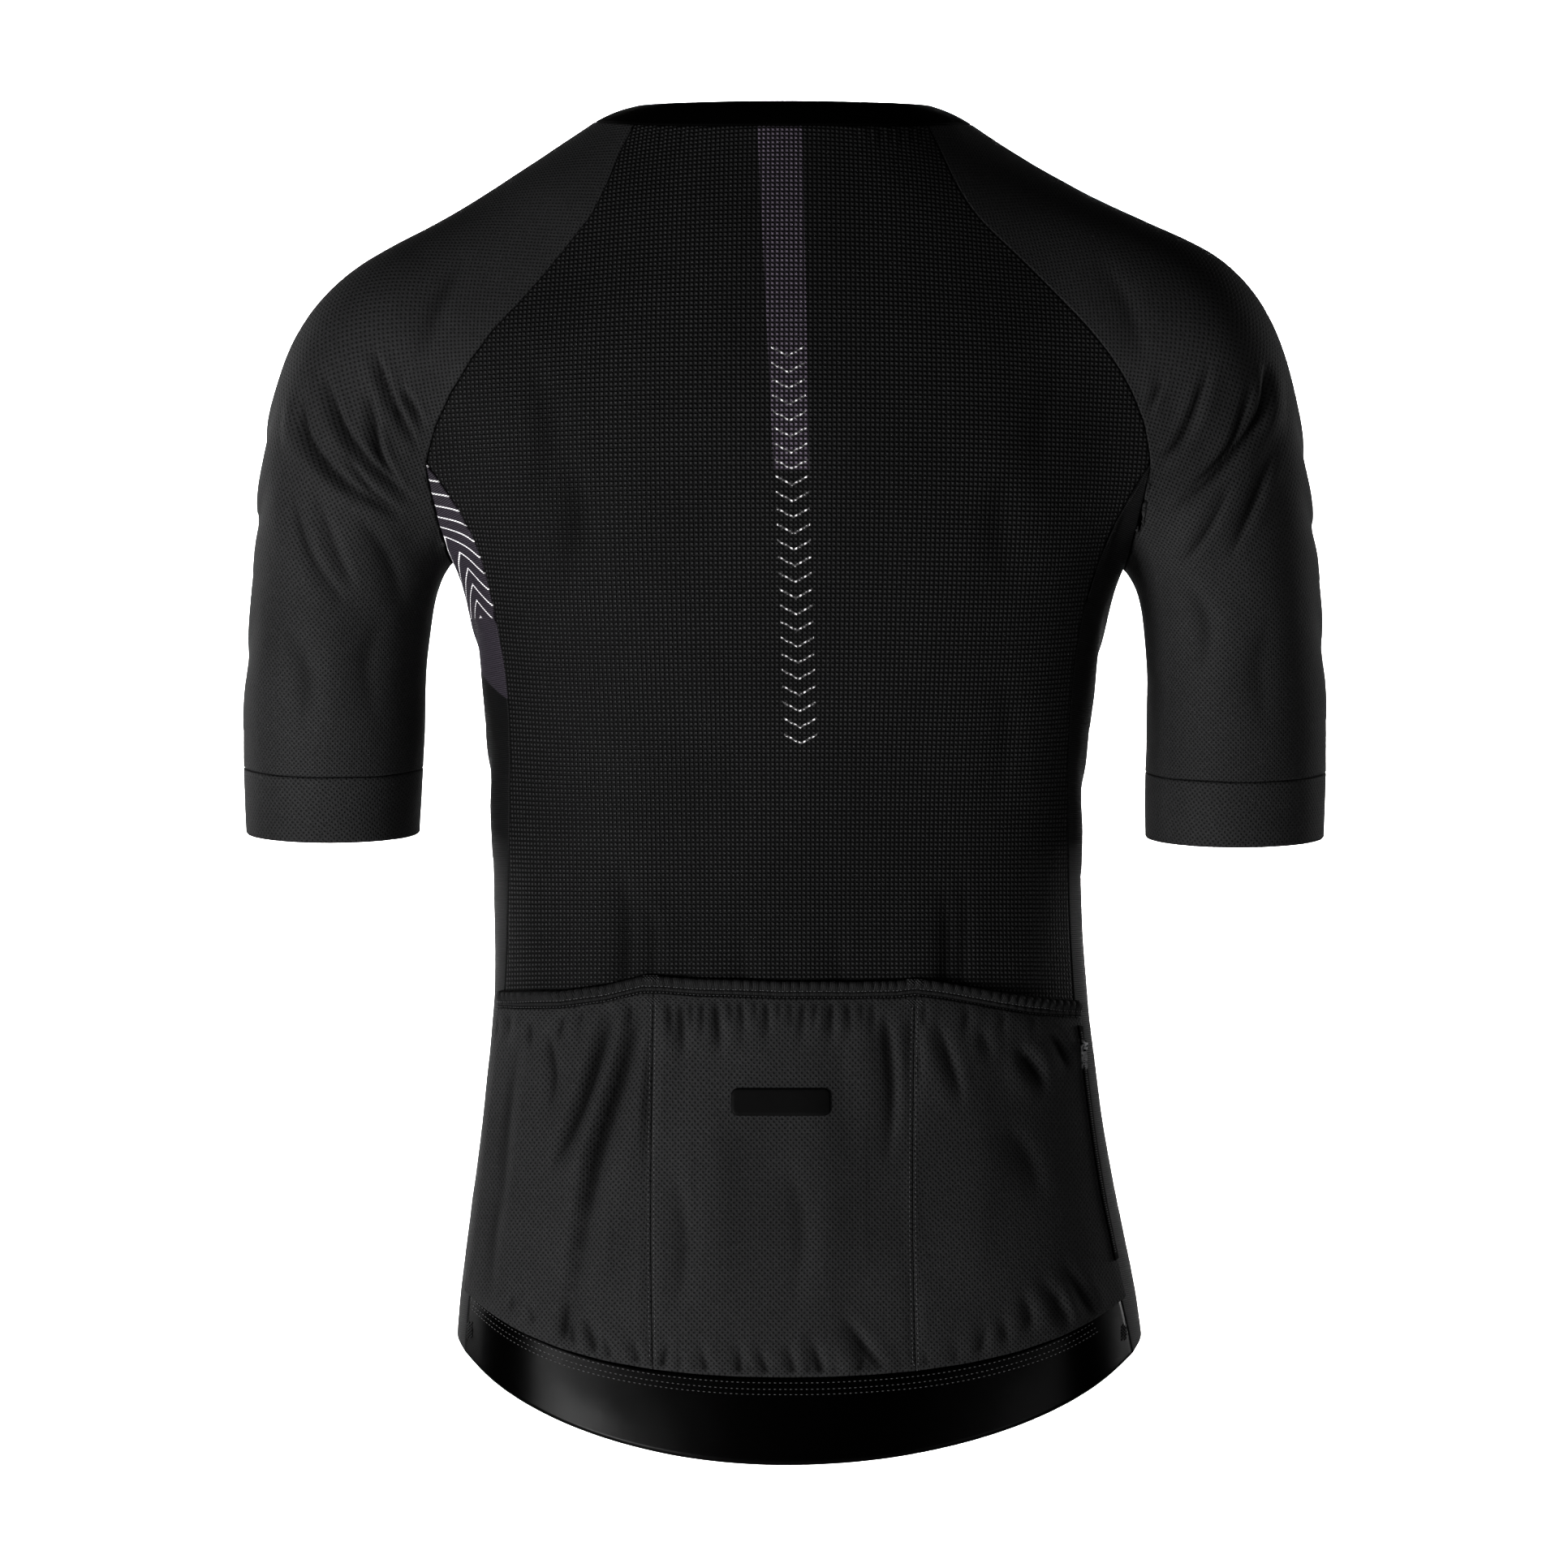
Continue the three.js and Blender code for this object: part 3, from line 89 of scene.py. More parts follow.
def outer_face(node):
    """The outside of a wall of cloth as a sheet of four-sided faces."""
    wall = shape_of(frame["nodes"][node].data)
    bmesh.ops.remove_doubles(wall, verts=wall.verts, dist=0.00002)
    line = middle_line(node)
    rims = []
    for face in wall.faces:
        if 2 * face.calc_area() < RIM * max(edge.calc_length() for edge in face.edges):
            rims.append(face)
    bmesh.ops.delete(wall, geom=rims, context="FACES")
    sheets, waiting = [], set(wall.faces)
    while waiting:
        sheet, border = [], [waiting.pop()]
        while border:
            face = border.pop()
            sheet.append(face)
            for edge in face.edges:
                if edge.calc_face_angle(math.pi) < FOLD_ANGLE:
                    found = [other for other in edge.link_faces if other in waiting]
                    waiting.difference_update(found)
                    border.extend(found)
        sheets.append(sheet)

    def outwards(sheet):
        turned = ((face.normal.dot(from_line(face.calc_center_median(), line)), face) for face in sheet)
        return sum(math.copysign(face.calc_area(), turn) for turn, face in turned)

    kept = set(max(sheets, key=outwards))
    bmesh.ops.delete(wall, geom=[face for face in wall.faces if face not in kept], context="FACES")
    bmesh.ops.holes_fill(wall, edges=[edge for edge in wall.edges if edge.is_boundary], sides=HOLE_SIDES)
    bmesh.ops.join_triangles(
        wall, faces=wall.faces, angle_face_threshold=math.radians(70), angle_shape_threshold=math.radians(70)
    )
    return wall


def shape_of(mesh):
    shape = bmesh.new()
    shape.from_mesh(mesh)
    return shape


def as_mesh(name, shape):
    mesh = bpy.data.meshes.new(name)
    shape.to_mesh(mesh)
    shape.free()
    return mesh


def linked(name, data):
    """The data as an object of the scene."""
    thing = bpy.data.objects.new(name, data)
    bpy.context.scene.collection.objects.link(thing)
    return thing


def rounded(mesh, levels):
    """The mesh as a smooth subdivision surface, with its corners kept."""
    piece = linked("rounding", mesh)
    modifier = piece.modifiers.new("rounding", "SUBSURF")
    modifier.levels = modifier.render_levels = levels
    modifier.boundary_smooth = "PRESERVE_CORNERS"
    result = bpy.data.meshes.new_from_object(piece.evaluated_get(bpy.context.evaluated_depsgraph_get()))
    bpy.data.objects.remove(piece)
    return result


together = bmesh.new()
for number, node in enumerate(CUT_PIECES):
    sheet = outer_face(node)
    for face in sheet.faces:
        face.material_index = number
    together.from_mesh(as_mesh(node, sheet))
bmesh.ops.remove_doubles(together, verts=together.verts, dist=SEAM_WELD)
held = together.edges.layers.float.new("crease_edge")
zip_number = CUT_PIECES.index("front_zip")
for edge in together.edges:
    numbers = {face.material_index for face in edge.link_faces}
    if len(numbers) > 1:
        edge[held] = 1 if zip_number in numbers else SEAM_HOLD
welded = as_mesh("sewn_cloth", together)
for node in CUT_PIECES:
    welded.materials.append(None)
sewn_cloth = rounded(welded, 2)

# Back panel
# One piece of black waffle knit from the collar to the hem band. It is overlocked to the sleeves along the raglan
# seams and to the side panels, and a violet-grey stripe is printed down its middle.
SEAM = {"ring": 0.0009, "sunk": 0.0007}
CLOTH_THICK = 0.0009
WAVES = {"large": 0.055, "small": 0.018, "share": 0.4, "fade": 0.02}
WAFFLE = 0.00245
VIEWS = {"back": (0, (0, 1, 0)), "front": (0, (0, -1, 0)), "left": (1, (1, 0, 0)), "right": (1, (-1, 0, 0))}


def cut_out(node):
    """The part of the sewn cloth that is one cut piece."""
    piece = shape_of(sewn_cloth)
    number = CUT_PIECES.index(node)
    others = [face for face in piece.faces if face.material_index != number]
    bmesh.ops.delete(piece, geom=others, context="FACES")
    for face in piece.faces:
        face.material_index = 0
    return piece


def laid_flat(name, piece, bent=False):
    """The piece with a UV map of its flat cut in metres, upright along its grain, and that cut's size.

    A bent band is cut straight and pulled round.
    """
    mesh = as_mesh(name, piece)
    thing = linked(name, mesh)
    bpy.context.view_layer.objects.active = thing
    thing.select_set(True)
    bpy.ops.object.mode_set(mode="EDIT")
    bpy.ops.mesh.select_all(action="SELECT")
    bpy.ops.uv.unwrap(method="ANGLE_BASED", margin=0)
    bpy.ops.object.mode_set(mode="OBJECT")
    bpy.data.objects.remove(thing)
    uv = np.zeros(len(mesh.loops) * 2)
    mesh.uv_layers[0].data.foreach_get("uv", uv)
    uv = uv.reshape(-1, 2)
    corner = np.zeros(len(mesh.loops), int)
    mesh.loops.foreach_get("vertex_index", corner)
    co = points_of(mesh)[corner]
    area = sum(polygon.area for polygon in mesh.polygons)
    flat = 0.0
    for polygon in mesh.polygons:
        u, v = uv[list(polygon.loop_indices)].T
        flat += abs(np.dot(u, np.roll(v, -1)) - np.dot(v, np.roll(u, -1))) / 2
    uv *= math.sqrt(area / flat)
    slope = np.linalg.lstsq(np.c_[uv, np.ones(len(uv))], co[:, 2], rcond=None)[0][:2]
    up = slope / np.linalg.norm(slope)
    uv = np.c_[uv @ (up[1], -up[0]), uv @ up]
    if bent:
        fit = np.linalg.lstsq(np.c_[2 * uv, np.ones(len(uv))], (uv**2).sum(1), rcond=None)[0]
        away = uv - fit[:2]
        middle = np.arctan2(*away.mean(0)[::-1])
        turn = (np.arctan2(away[:, 1], away[:, 0]) - middle + np.pi) % (2 * np.pi) - np.pi
        radius = np.hypot(*away.T)
        uv = np.c_[turn * radius.mean(), radius] * (-1 if middle < 0 else 1)
    mesh.uv_layers[0].data.foreach_set("uv", uv.ravel())
    wide, tall = np.ptp(uv, axis=0)
    return mesh, (wide, tall), area


def points_of(mesh):
    co = np.zeros(len(mesh.vertices) * 3)
    mesh.vertices.foreach_get("co", co)
    return co.reshape(-1, 3)


def move_points(mesh, points):
    mesh.vertices.foreach_set("co", points.ravel())
    mesh.update()


def normals_of(mesh):
    normal = np.zeros(len(mesh.vertices) * 3)
    mesh.vertex_normals.foreach_get("vector", normal)
    return normal.reshape(-1, 3)


def soft_step(low, high, value):
    share = np.clip((value - low) / (high - low), 0, 1)
    return share * share * (3 - 2 * share)


def smooth_path(marks, count=64):
    """A smooth line through a few marks."""
    marks = np.array(marks, float)
    ends = np.vstack([2 * marks[0] - marks[1], marks, 2 * marks[-1] - marks[-2]])
    place = np.linspace(0, len(marks) - 1, count)
    i = np.minimum(place.astype(int), len(marks) - 2)
    t = (place - i)[:, None]
    a, b, c, d = ends[i], ends[i + 1], ends[i + 2], ends[i + 3]
    return 0.5 * (2 * b + (c - a) * t + (2 * a - 5 * b + 4 * c - d) * t**2 + (3 * b - a - 3 * c + d) * t**3)


# Painted shade in the folds: a point deep in a trough, fully so at this depth, gets a base colour darker by this
# share
VALLEY_SHADE = {"full": 0.0022, "dark": 0.9}


def fold(path, wide, deep, seen="back", peak=0.5, lean=0.2, ridge=0.42):
    """A crease in millimetres: the marks of its path, its width and depth, and the side where it is seen.

    It is deepest at the peak's share of its path, wider on one side by the lean, and raised along its edges.
    """
    return {"path": path, "wide": wide, "deep": deep, "seen": seen, "peak": peak, "lean": lean, "ridge": ridge}


def creased(points, normals, folds):
    """How far the given folds move each point along its normal, and how much painted shade it gets for lying deep in
    a trough.
    """
    moved, valley_shade = np.zeros(len(points)), np.zeros(len(points))
    for crease in folds:
        axis, view = VIEWS[crease["seen"]]
        path = smooth_path(crease["path"]) / 1000
        wide, deep, lean = crease["wide"] / 1000, crease["deep"] / 1000, crease["lean"]
        here = points[:, (axis, 2)]
        reach = 4 * wide
        near = np.all((here > path.min(0) - reach) & (here < path.max(0) + reach), axis=1)
        near &= (normals @ view > 0) & ((axis == 0) | (points @ view > 0))
        if not near.any():
            continue
        gap = here[near][:, None] - path[None]
        nearest = np.argmin((gap**2).sum(2), axis=1)
        gap = gap[np.arange(len(gap)), nearest]
        run = np.gradient(path, axis=0)[nearest]
        side = np.sign(run[:, 0] * gap[:, 1] - run[:, 1] * gap[:, 0])
        away = np.hypot(*gap.T)
        along = nearest / (len(path) - 1)
        peak = crease["peak"]
        fade = np.where(along < peak, along / peak, (1 - along) / (1 - peak))
        fade = np.sin(np.pi / 2 * np.clip(fade, 0.0, 1)) ** 0.8
        width = wide * (1 + lean * side) * (0.7 + 0.3 * fade)
        trough = np.exp(-((away / width) ** 2))
        shape = -trough
        ridge = crease["ridge"] + 0.3 * lean * side
        shape += ridge * np.exp(-(((away - 2.3 * width) / (1.5 * width)) ** 2))
        fade *= soft_step(0.05, 0.4, normals[near] @ view)
        moved[near] += deep * shape * fade
        valley_shade[near] = np.maximum(valley_shade[near], trough**2 * fade * min(deep / VALLEY_SHADE["full"], 1))
    return moved, np.maximum(valley_shade, 0)


def uneven(points, size, seed):
    """Soft unevenness between -1 and 1 over a given size."""
    return np.array([noise.noise(Vector(p) / size + Vector((seed, 0, 0))) for p in points])


def border_distance(mesh, points):
    """Each point's distance from the piece's sewn border."""
    shape = shape_of(mesh)
    edges = [(edge.verts[0].index, edge.verts[1].index) for edge in shape.edges if edge.is_boundary]
    tree = BVHTree.FromPolygons([vert.co.copy() for vert in shape.verts], [(a, b, b) for a, b in edges])
    away = np.array([tree.find_nearest(Vector(p))[3] for p in points])
    shape.free()
    return away


def ringed(name, mesh, width):
    """The mesh with a narrow ring of faces along its border."""
    shape = shape_of(mesh)
    bmesh.ops.inset_region(shape, faces=shape.faces, use_boundary=True, use_interpolate=True, thickness=width)
    return as_mesh(name, shape)


def carry(mesh, name, values):
    """Gives the mesh a value at each point for its material."""
    mesh.attributes.new(name, "FLOAT", "POINT").data.foreach_set("value", values)


def placed(name, mesh, thick=0):
    """The mesh as an object of the scene, with a wall under its face where it has a thickness."""
    mesh.shade_smooth()
    piece = linked(name, mesh)
    if thick:
        wall = piece.modifiers.new("thickness", "SOLIDIFY")
        wall.thickness, wall.offset = thick, -1
    return piece


def tailored(name, node, mesh, folds=(), rough=0.00035, sunk=SEAM["sunk"], pinned=0.012, thick=CLOTH_THICK):
    """A cut piece rounded, folded, sunk along its seams and given its thickness. It rides on the jersey.

    Its folds fade over the pinned distance from the seams.
    """
    mesh = ringed(name, rounded(mesh, 1), SEAM["ring"])
    points, normals = points_of(mesh), normals_of(mesh)
    away = border_distance(mesh, points)
    out, valley_shade = creased(points, normals, folds)
    held = soft_step(0, pinned, away)
    out *= held
    # The mesh carries how much painted shade each point gets in a fold's trough; its material darkens the base colour
    # by it
    carry(mesh, "valley_shade", valley_shade * held)
    waviness = uneven(points, WAVES["large"], 3) + WAVES["share"] * uneven(points, WAVES["small"], 11)
    out += rough * waviness * soft_step(0.0, WAVES["fade"], away)
    out -= sunk * (1 - soft_step(0, SEAM["ring"] * 0.9, away))
    move_points(mesh, points + normals * out[:, None])
    piece = placed(name, mesh, thick)
    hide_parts(node)
    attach(piece, "jersey")
    return piece


def feed(tree, socket, value):
    """Gives a socket a constant, or links another socket to it."""
    if isinstance(value, bpy.types.NodeSocket):
        tree.links.new(value, socket)
    else:
        socket.default_value = value


def calc(tree, operation, *values):
    """A Math node on sockets and numbers."""
    node = tree.nodes.new("ShaderNodeMath")
    node.operation = operation
    for socket, value in zip(node.inputs, values):
        feed(tree, socket, value)
    return node.outputs[0]


def times(tree, first, second):
    return calc(tree, "MULTIPLY", first, second)


def gap_of(tree, first, second):
    return calc(tree, "ABSOLUTE", calc(tree, "SUBTRACT", first, second))


def ramped(tree, value, low, high, start=0.0, end=1.0):
    """A smooth step of a value from one number to another."""
    node = tree.nodes.new("ShaderNodeMapRange")
    node.interpolation_type = "SMOOTHSTEP"
    tree.links.new(value, node.inputs[0])
    for socket, number in zip(list(node.inputs)[1:5], (low, high, start, end)):
        socket.default_value = number
    return node.outputs[0]


def tinted(tree, share, first, second):
    """A mix of two colours or sockets."""
    node = tree.nodes.new("ShaderNodeMix")
    node.data_type = "RGBA"
    tree.links.new(share, node.inputs[0])
    for socket, value in zip((node.inputs[6], node.inputs[7]), (first, second)):
        feed(tree, socket, (*value, 1) if isinstance(value, tuple) else value)
    return node.outputs[2]


def new_material(name):
    """A material, its node tree and its shader."""
    material = bpy.data.materials.new(name)
    material.use_nodes = True
    return material, material.node_tree, material.node_tree.nodes["Principled BSDF"]


def speckle(tree, scale):
    """Noise on the object's own coordinates."""
    place = tree.nodes.new("ShaderNodeTexCoord")
    texture = tree.nodes.new("ShaderNodeTexNoise")
    texture.inputs["Scale"].default_value = scale
    tree.links.new(place.outputs["Object"], texture.inputs["Vector"])
    return texture.outputs[0]


def carried(tree, name):
    """A value that the mesh carries at its points."""
    node = tree.nodes.new("ShaderNodeAttribute")
    node.attribute_name = name
    return node.outputs["Fac"]


def knit(name, colour, pattern, relief, rough, gloss):
    """A knit cloth. The pattern gives its height and its print from the flat cut's and the object's coordinates. Its
    base colour varies at random in tone, and is darker as painted shade where the height is low and in the folds'
    troughs.
    """
    material, tree, shader = new_material(name)
    shader.inputs["Roughness"].default_value = rough
    shader.inputs["Specular IOR Level"].default_value = gloss
    cut = tree.nodes.new("ShaderNodeUVMap")
    cut.uv_map = "UVMap"
    split = tree.nodes.new("ShaderNodeSeparateXYZ")
    tree.links.new(cut.outputs[0], split.inputs[0])
    place = tree.nodes.new("ShaderNodeTexCoord")
    here = tree.nodes.new("ShaderNodeSeparateXYZ")
    tree.links.new(place.outputs["Object"], here.inputs[0])
    height, paint = pattern(tree, split.outputs[0], split.outputs[1], here.outputs, colour)
    yarn = speckle(tree, 900)
    fuzz = ramped(tree, yarn, 0.3, 0.7, 0.82, 1.18)
    fade = ramped(tree, speckle(tree, 14), 0.3, 0.7, 0.9, 1.1)
    # Painted shade: the base colour is darker where the knit's height is low, in its sunken lines, pits and grooves
    deep = ramped(tree, height, 0.0, 0.9, 0.12, 1.1)
    # Painted shade: the base colour is darker in the folds' troughs, by the trough measure that the mesh carries
    painted_crease_shade = ramped(tree, carried(tree, "valley_shade"), 0.0, 1.0, 1.0, 1 - VALLEY_SHADE["dark"])
    shade = times(tree, times(tree, fuzz, fade), times(tree, deep, painted_crease_shade))
    scaled = tree.nodes.new("ShaderNodeVectorMath")
    scaled.operation = "SCALE"
    feed(tree, scaled.inputs[0], paint)
    feed(tree, scaled.inputs["Scale"], shade)
    tree.links.new(scaled.outputs[0], shader.inputs["Base Color"])
    bump = tree.nodes.new("ShaderNodeBump")
    bump.inputs["Distance"].default_value = relief
    bump.inputs["Strength"].default_value = 1
    grain = calc(tree, "ADD", height, times(tree, yarn, 0.35))
    tree.links.new(grain, bump.inputs["Height"])
    tree.links.new(bump.outputs[0], shader.inputs["Normal"])
    return material


def waves(tree, value, pitch, shape="SINE"):
    return calc(tree, shape, times(tree, value, 2 * math.pi / pitch))


def waffle(tree, u, v, here, colour):
    """Raised squares between fine sunken lines."""
    across = calc(tree, "ABSOLUTE", waves(tree, u, 2 * WAFFLE))
    upright = calc(tree, "ABSOLUTE", waves(tree, v, 2 * WAFFLE))
    height = ramped(tree, calc(tree, "MINIMUM", across, upright), 0.25, 0.95)
    return height, colour


# Printed stripe: its middle leans towards the wearer's right as it goes down, and small chevrons follow below it
STRIPE = {
    "x": 0.0024, "lean": 0.034, "half": 0.0122, "taper": 0.0135, "end": -0.19, "edge": 0.0002,
    "violet": (0.105, 0.09, 0.113),
}
CHEVRONS = {
    "first": -0.121, "last": -0.338, "pitch": 0.0086, "half": 0.0088, "thick": 0.00042, "slope": -0.55,
    "pale": (0.55, 0.54, 0.55),
}


def striped_waffle(tree, u, v, here, colour):
    height, paint = waffle(tree, u, v, here, colour)
    x, _, z = here
    middle = calc(tree, "ADD", times(tree, z, STRIPE["lean"]), STRIPE["x"])
    away = gap_of(tree, x, middle)
    half = calc(tree, "ADD", times(tree, z, STRIPE["taper"]), STRIPE["half"])
    inside = ramped(tree, calc(tree, "SUBTRACT", half, away), -0.0002, 0.0003)
    above = ramped(tree, z, STRIPE["end"] - STRIPE["edge"], STRIPE["end"] + STRIPE["edge"])
    paint = tinted(tree, times(tree, inside, above), colour, STRIPE["violet"])
    bent = calc(tree, "ADD", z, times(tree, away, CHEVRONS["slope"]))
    saw = calc(tree, "ABSOLUTE", calc(tree, "PINGPONG", bent, CHEVRONS["pitch"] / 2))
    line = ramped(tree, saw, CHEVRONS["thick"], CHEVRONS["thick"] * 1.7, 1.0, 0.0)
    within = ramped(tree, away, CHEVRONS["half"] - 0.0002, CHEVRONS["half"] + 0.0002, 1.0, 0.0)
    started = ramped(tree, z, CHEVRONS["first"] + 0.0003, CHEVRONS["first"], 0.0, 1.0)
    ended = ramped(tree, z, CHEVRONS["last"] - 0.0003, CHEVRONS["last"])
    run = times(tree, started, ended)
    drawn = times(tree, times(tree, line, within), run)
    return height, tinted(tree, drawn, paint, CHEVRONS["pale"])


BACK_FOLDS = [
    fold([(88, -395), (85, -430), (86, -468)], 7, 1.6, peak=0.8),
    fold([(73, -418), (70, -440), (72, -470)], 5, 1.2, peak=0.8),
    fold([(-83, -405), (-86, -435), (-85, -470)], 6, 2.0, peak=0.8),
    fold([(-95, -400), (-96, -430), (-94, -470)], 5, 1.5, peak=0.8),
    fold([(-30, -425), (-28, -445), (-30, -468)], 6, 0.8, peak=0.8),
    fold([(25, -430), (22, -450), (24, -468)], 6, 0.8, peak=0.8),
    fold([(-115, -290), (-118, -330), (-112, -375)], 9, 1.0),
    fold([(118, -180), (112, -215), (120, -255)], 14, 1.2),
    fold([(-118, -185), (-112, -220), (-122, -262)], 14, 1.2),
    fold([(140, -120), (128, -165), (132, -205)], 12, 1.0),
    fold([(-148, -122), (-136, -165), (-138, -205)], 12, 1.0),
]
for mark, length, deep in (
    (71, 11, 0.5), (66, 14, 0.7), (60.5, 10, 0.5), (55, 12, 0.6), (48, 9, 0.4), (41, 8, 0.3), (-39, 9, 0.4),
    (-46, 11, 0.5), (-52, 13, 0.7), (-58, 11, 0.6), (-63, 14, 0.7), (-68.5, 11, 0.6), (-73, 12, 0.5),
):
    marks = [(mark, -3), (mark, -3 - length / 2), (mark + 0.6, -3 - length)]
    BACK_FOLDS.append(fold(marks, 1.5, deep, peak=0.2, lean=0))
cut, flat, area = laid_flat("back", cut_out("back_panel"))
back = tailored("back", "back_panel", cut, BACK_FOLDS, pinned=0.004)
BLACK = (0.024, 0.024, 0.0246)
back.data.materials.append(knit("striped waffle knit", BLACK, striped_waffle, 0.0013, rough=0.64, gloss=0.09))

# Fronts
# Two pieces of the same waffle knit from the zip to the raglan and side seams, with a turned hem. The photo doesn't
# show them, so they are plain, with the soft drag lines that a filled chest gives.
FRONT_FOLDS = [
    fold([(150, -150), (128, -185), (96, -205)], 10, 1.6, seen="front"),
    fold([(152, -178), (130, -208), (104, -224)], 9, 1.3, seen="front"),
    fold([(-152, -148), (-126, -182), (-98, -200)], 10, 1.6, seen="front"),
    fold([(-156, -182), (-136, -208), (-102, -228)], 9, 1.3, seen="front"),
    fold([(14, -300), (24, -360), (12, -420)], 11, 1.4, seen="front"),
    fold([(-16, -320), (-27, -380), (-14, -450)], 11, 1.4, seen="front"),
    fold([(120, -470), (96, -540), (92, -610)], 13, 1.8, seen="front"),
    fold([(-118, -460), (-98, -530), (-90, -600)], 13, 1.8, seen="front"),
    fold([(50, -520), (44, -570), (52, -618)], 10, 1.2, seen="front"),
    fold([(-52, -530), (-47, -575), (-56, -618)], 10, 1.2, seen="front"),
]
for side in ("left", "right"):
    cut, flat, area = laid_flat(f"front_{side}_cloth", cut_out(f"front_{side}"))
    front = tailored(f"front_{side}_cloth", f"front_{side}", cut, FRONT_FOLDS)
    if side == "left":
        plain_waffle = knit("waffle knit", BLACK, waffle, 0.0013, rough=0.64, gloss=0.09)
    front.data.materials.append(plain_waffle)

# Side panels
# Narrow panels of fine cross-ribbed knit from the armholes to the hem. The left one has a violet-grey print under
# the arm that ends in a curve.
RIB = 0.0011
PRINT = {"until": -0.3185, "curve": 0.5, "apex": 0.036, "slope": 0.75, "art": -0.268, "violet": (0.03, 0.026, 0.033)}


def ribbed(tree, u, v, here, colour):
    height = ramped(tree, calc(tree, "ABSOLUTE", waves(tree, v, 2 * RIB)), 0.0, 0.7)
    return height, colour


def printed_rib(tree, u, v, here, colour):
    height, paint = ribbed(tree, u, v, here, colour)
    x, y, z = here
    fall = times(tree, calc(tree, "SUBTRACT", y, 0.062), PRINT["curve"])
    edge = calc(tree, "ADD", z, fall)
    block = ramped(tree, edge, PRINT["until"] - 0.0003, PRINT["until"] + 0.0003)
    paint = tinted(tree, block, colour, PRINT["violet"])
    away = gap_of(tree, y, PRINT["apex"])
    bent = calc(tree, "ADD", z, times(tree, away, PRINT["slope"]))
    saw = calc(tree, "PINGPONG", bent, CHEVRONS["pitch"] / 2)
    line = ramped(tree, saw, CHEVRONS["thick"], CHEVRONS["thick"] * 1.7, 1.0, 0.0)
    run = ramped(tree, z, PRINT["art"], PRINT["art"] + 0.0005)
    return height, tinted(tree, times(tree, line, run), paint, CHEVRONS["pale"])


SIDE_FOLDS = [
    fold([(30, -260), (0, -285), (-32, -280)], 9, 1.2, seen="left"),
    fold([(26, -330), (0, -352), (-28, -345)], 11, 1.3, seen="left"),
    fold([(8, -430), (-4, -500), (6, -580)], 12, 1.4, seen="left"),
    fold([(28, -265), (-2, -290), (-30, -284)], 9, 1.2, seen="right"),
    fold([(26, -340), (2, -360), (-30, -350)], 11, 1.3, seen="right"),
    fold([(10, -430), (-2, -510), (8, -590)], 12, 1.4, seen="right"),
]
for side, pattern in (("left", printed_rib), ("right", ribbed)):
    cut, flat, area = laid_flat(f"side_{side}_cloth", cut_out(f"side_{side}"))
    panel = tailored(f"side_{side}_cloth", f"side_{side}", cut, SIDE_FOLDS)
    rib_knit = knit(f"ribbed knit {side}", (0.006, 0.006, 0.0062), pattern, 0.0002, rough=0.6, gloss=0.1)
    panel.data.materials.append(rib_knit)

# Sleeves and cuffs
# Raglan sleeves of fine mesh knit run from the collar to a narrow seam above the cuffs, which are bands of the same
# cloth. The arm's weight drags soft folds down from the shoulder towards the armpit.
MESH = {"across": 0.003, "up": 0.003, "floor": 0.4}


def pitted(tree, u, v, here, colour):
    """Small pits in staggered rows."""
    product = times(tree, waves(tree, u, MESH["across"], "COSINE"), waves(tree, v, MESH["up"], "COSINE"))
    return ramped(tree, product, 0.15, 0.75, 1.0, MESH["floor"]), colour


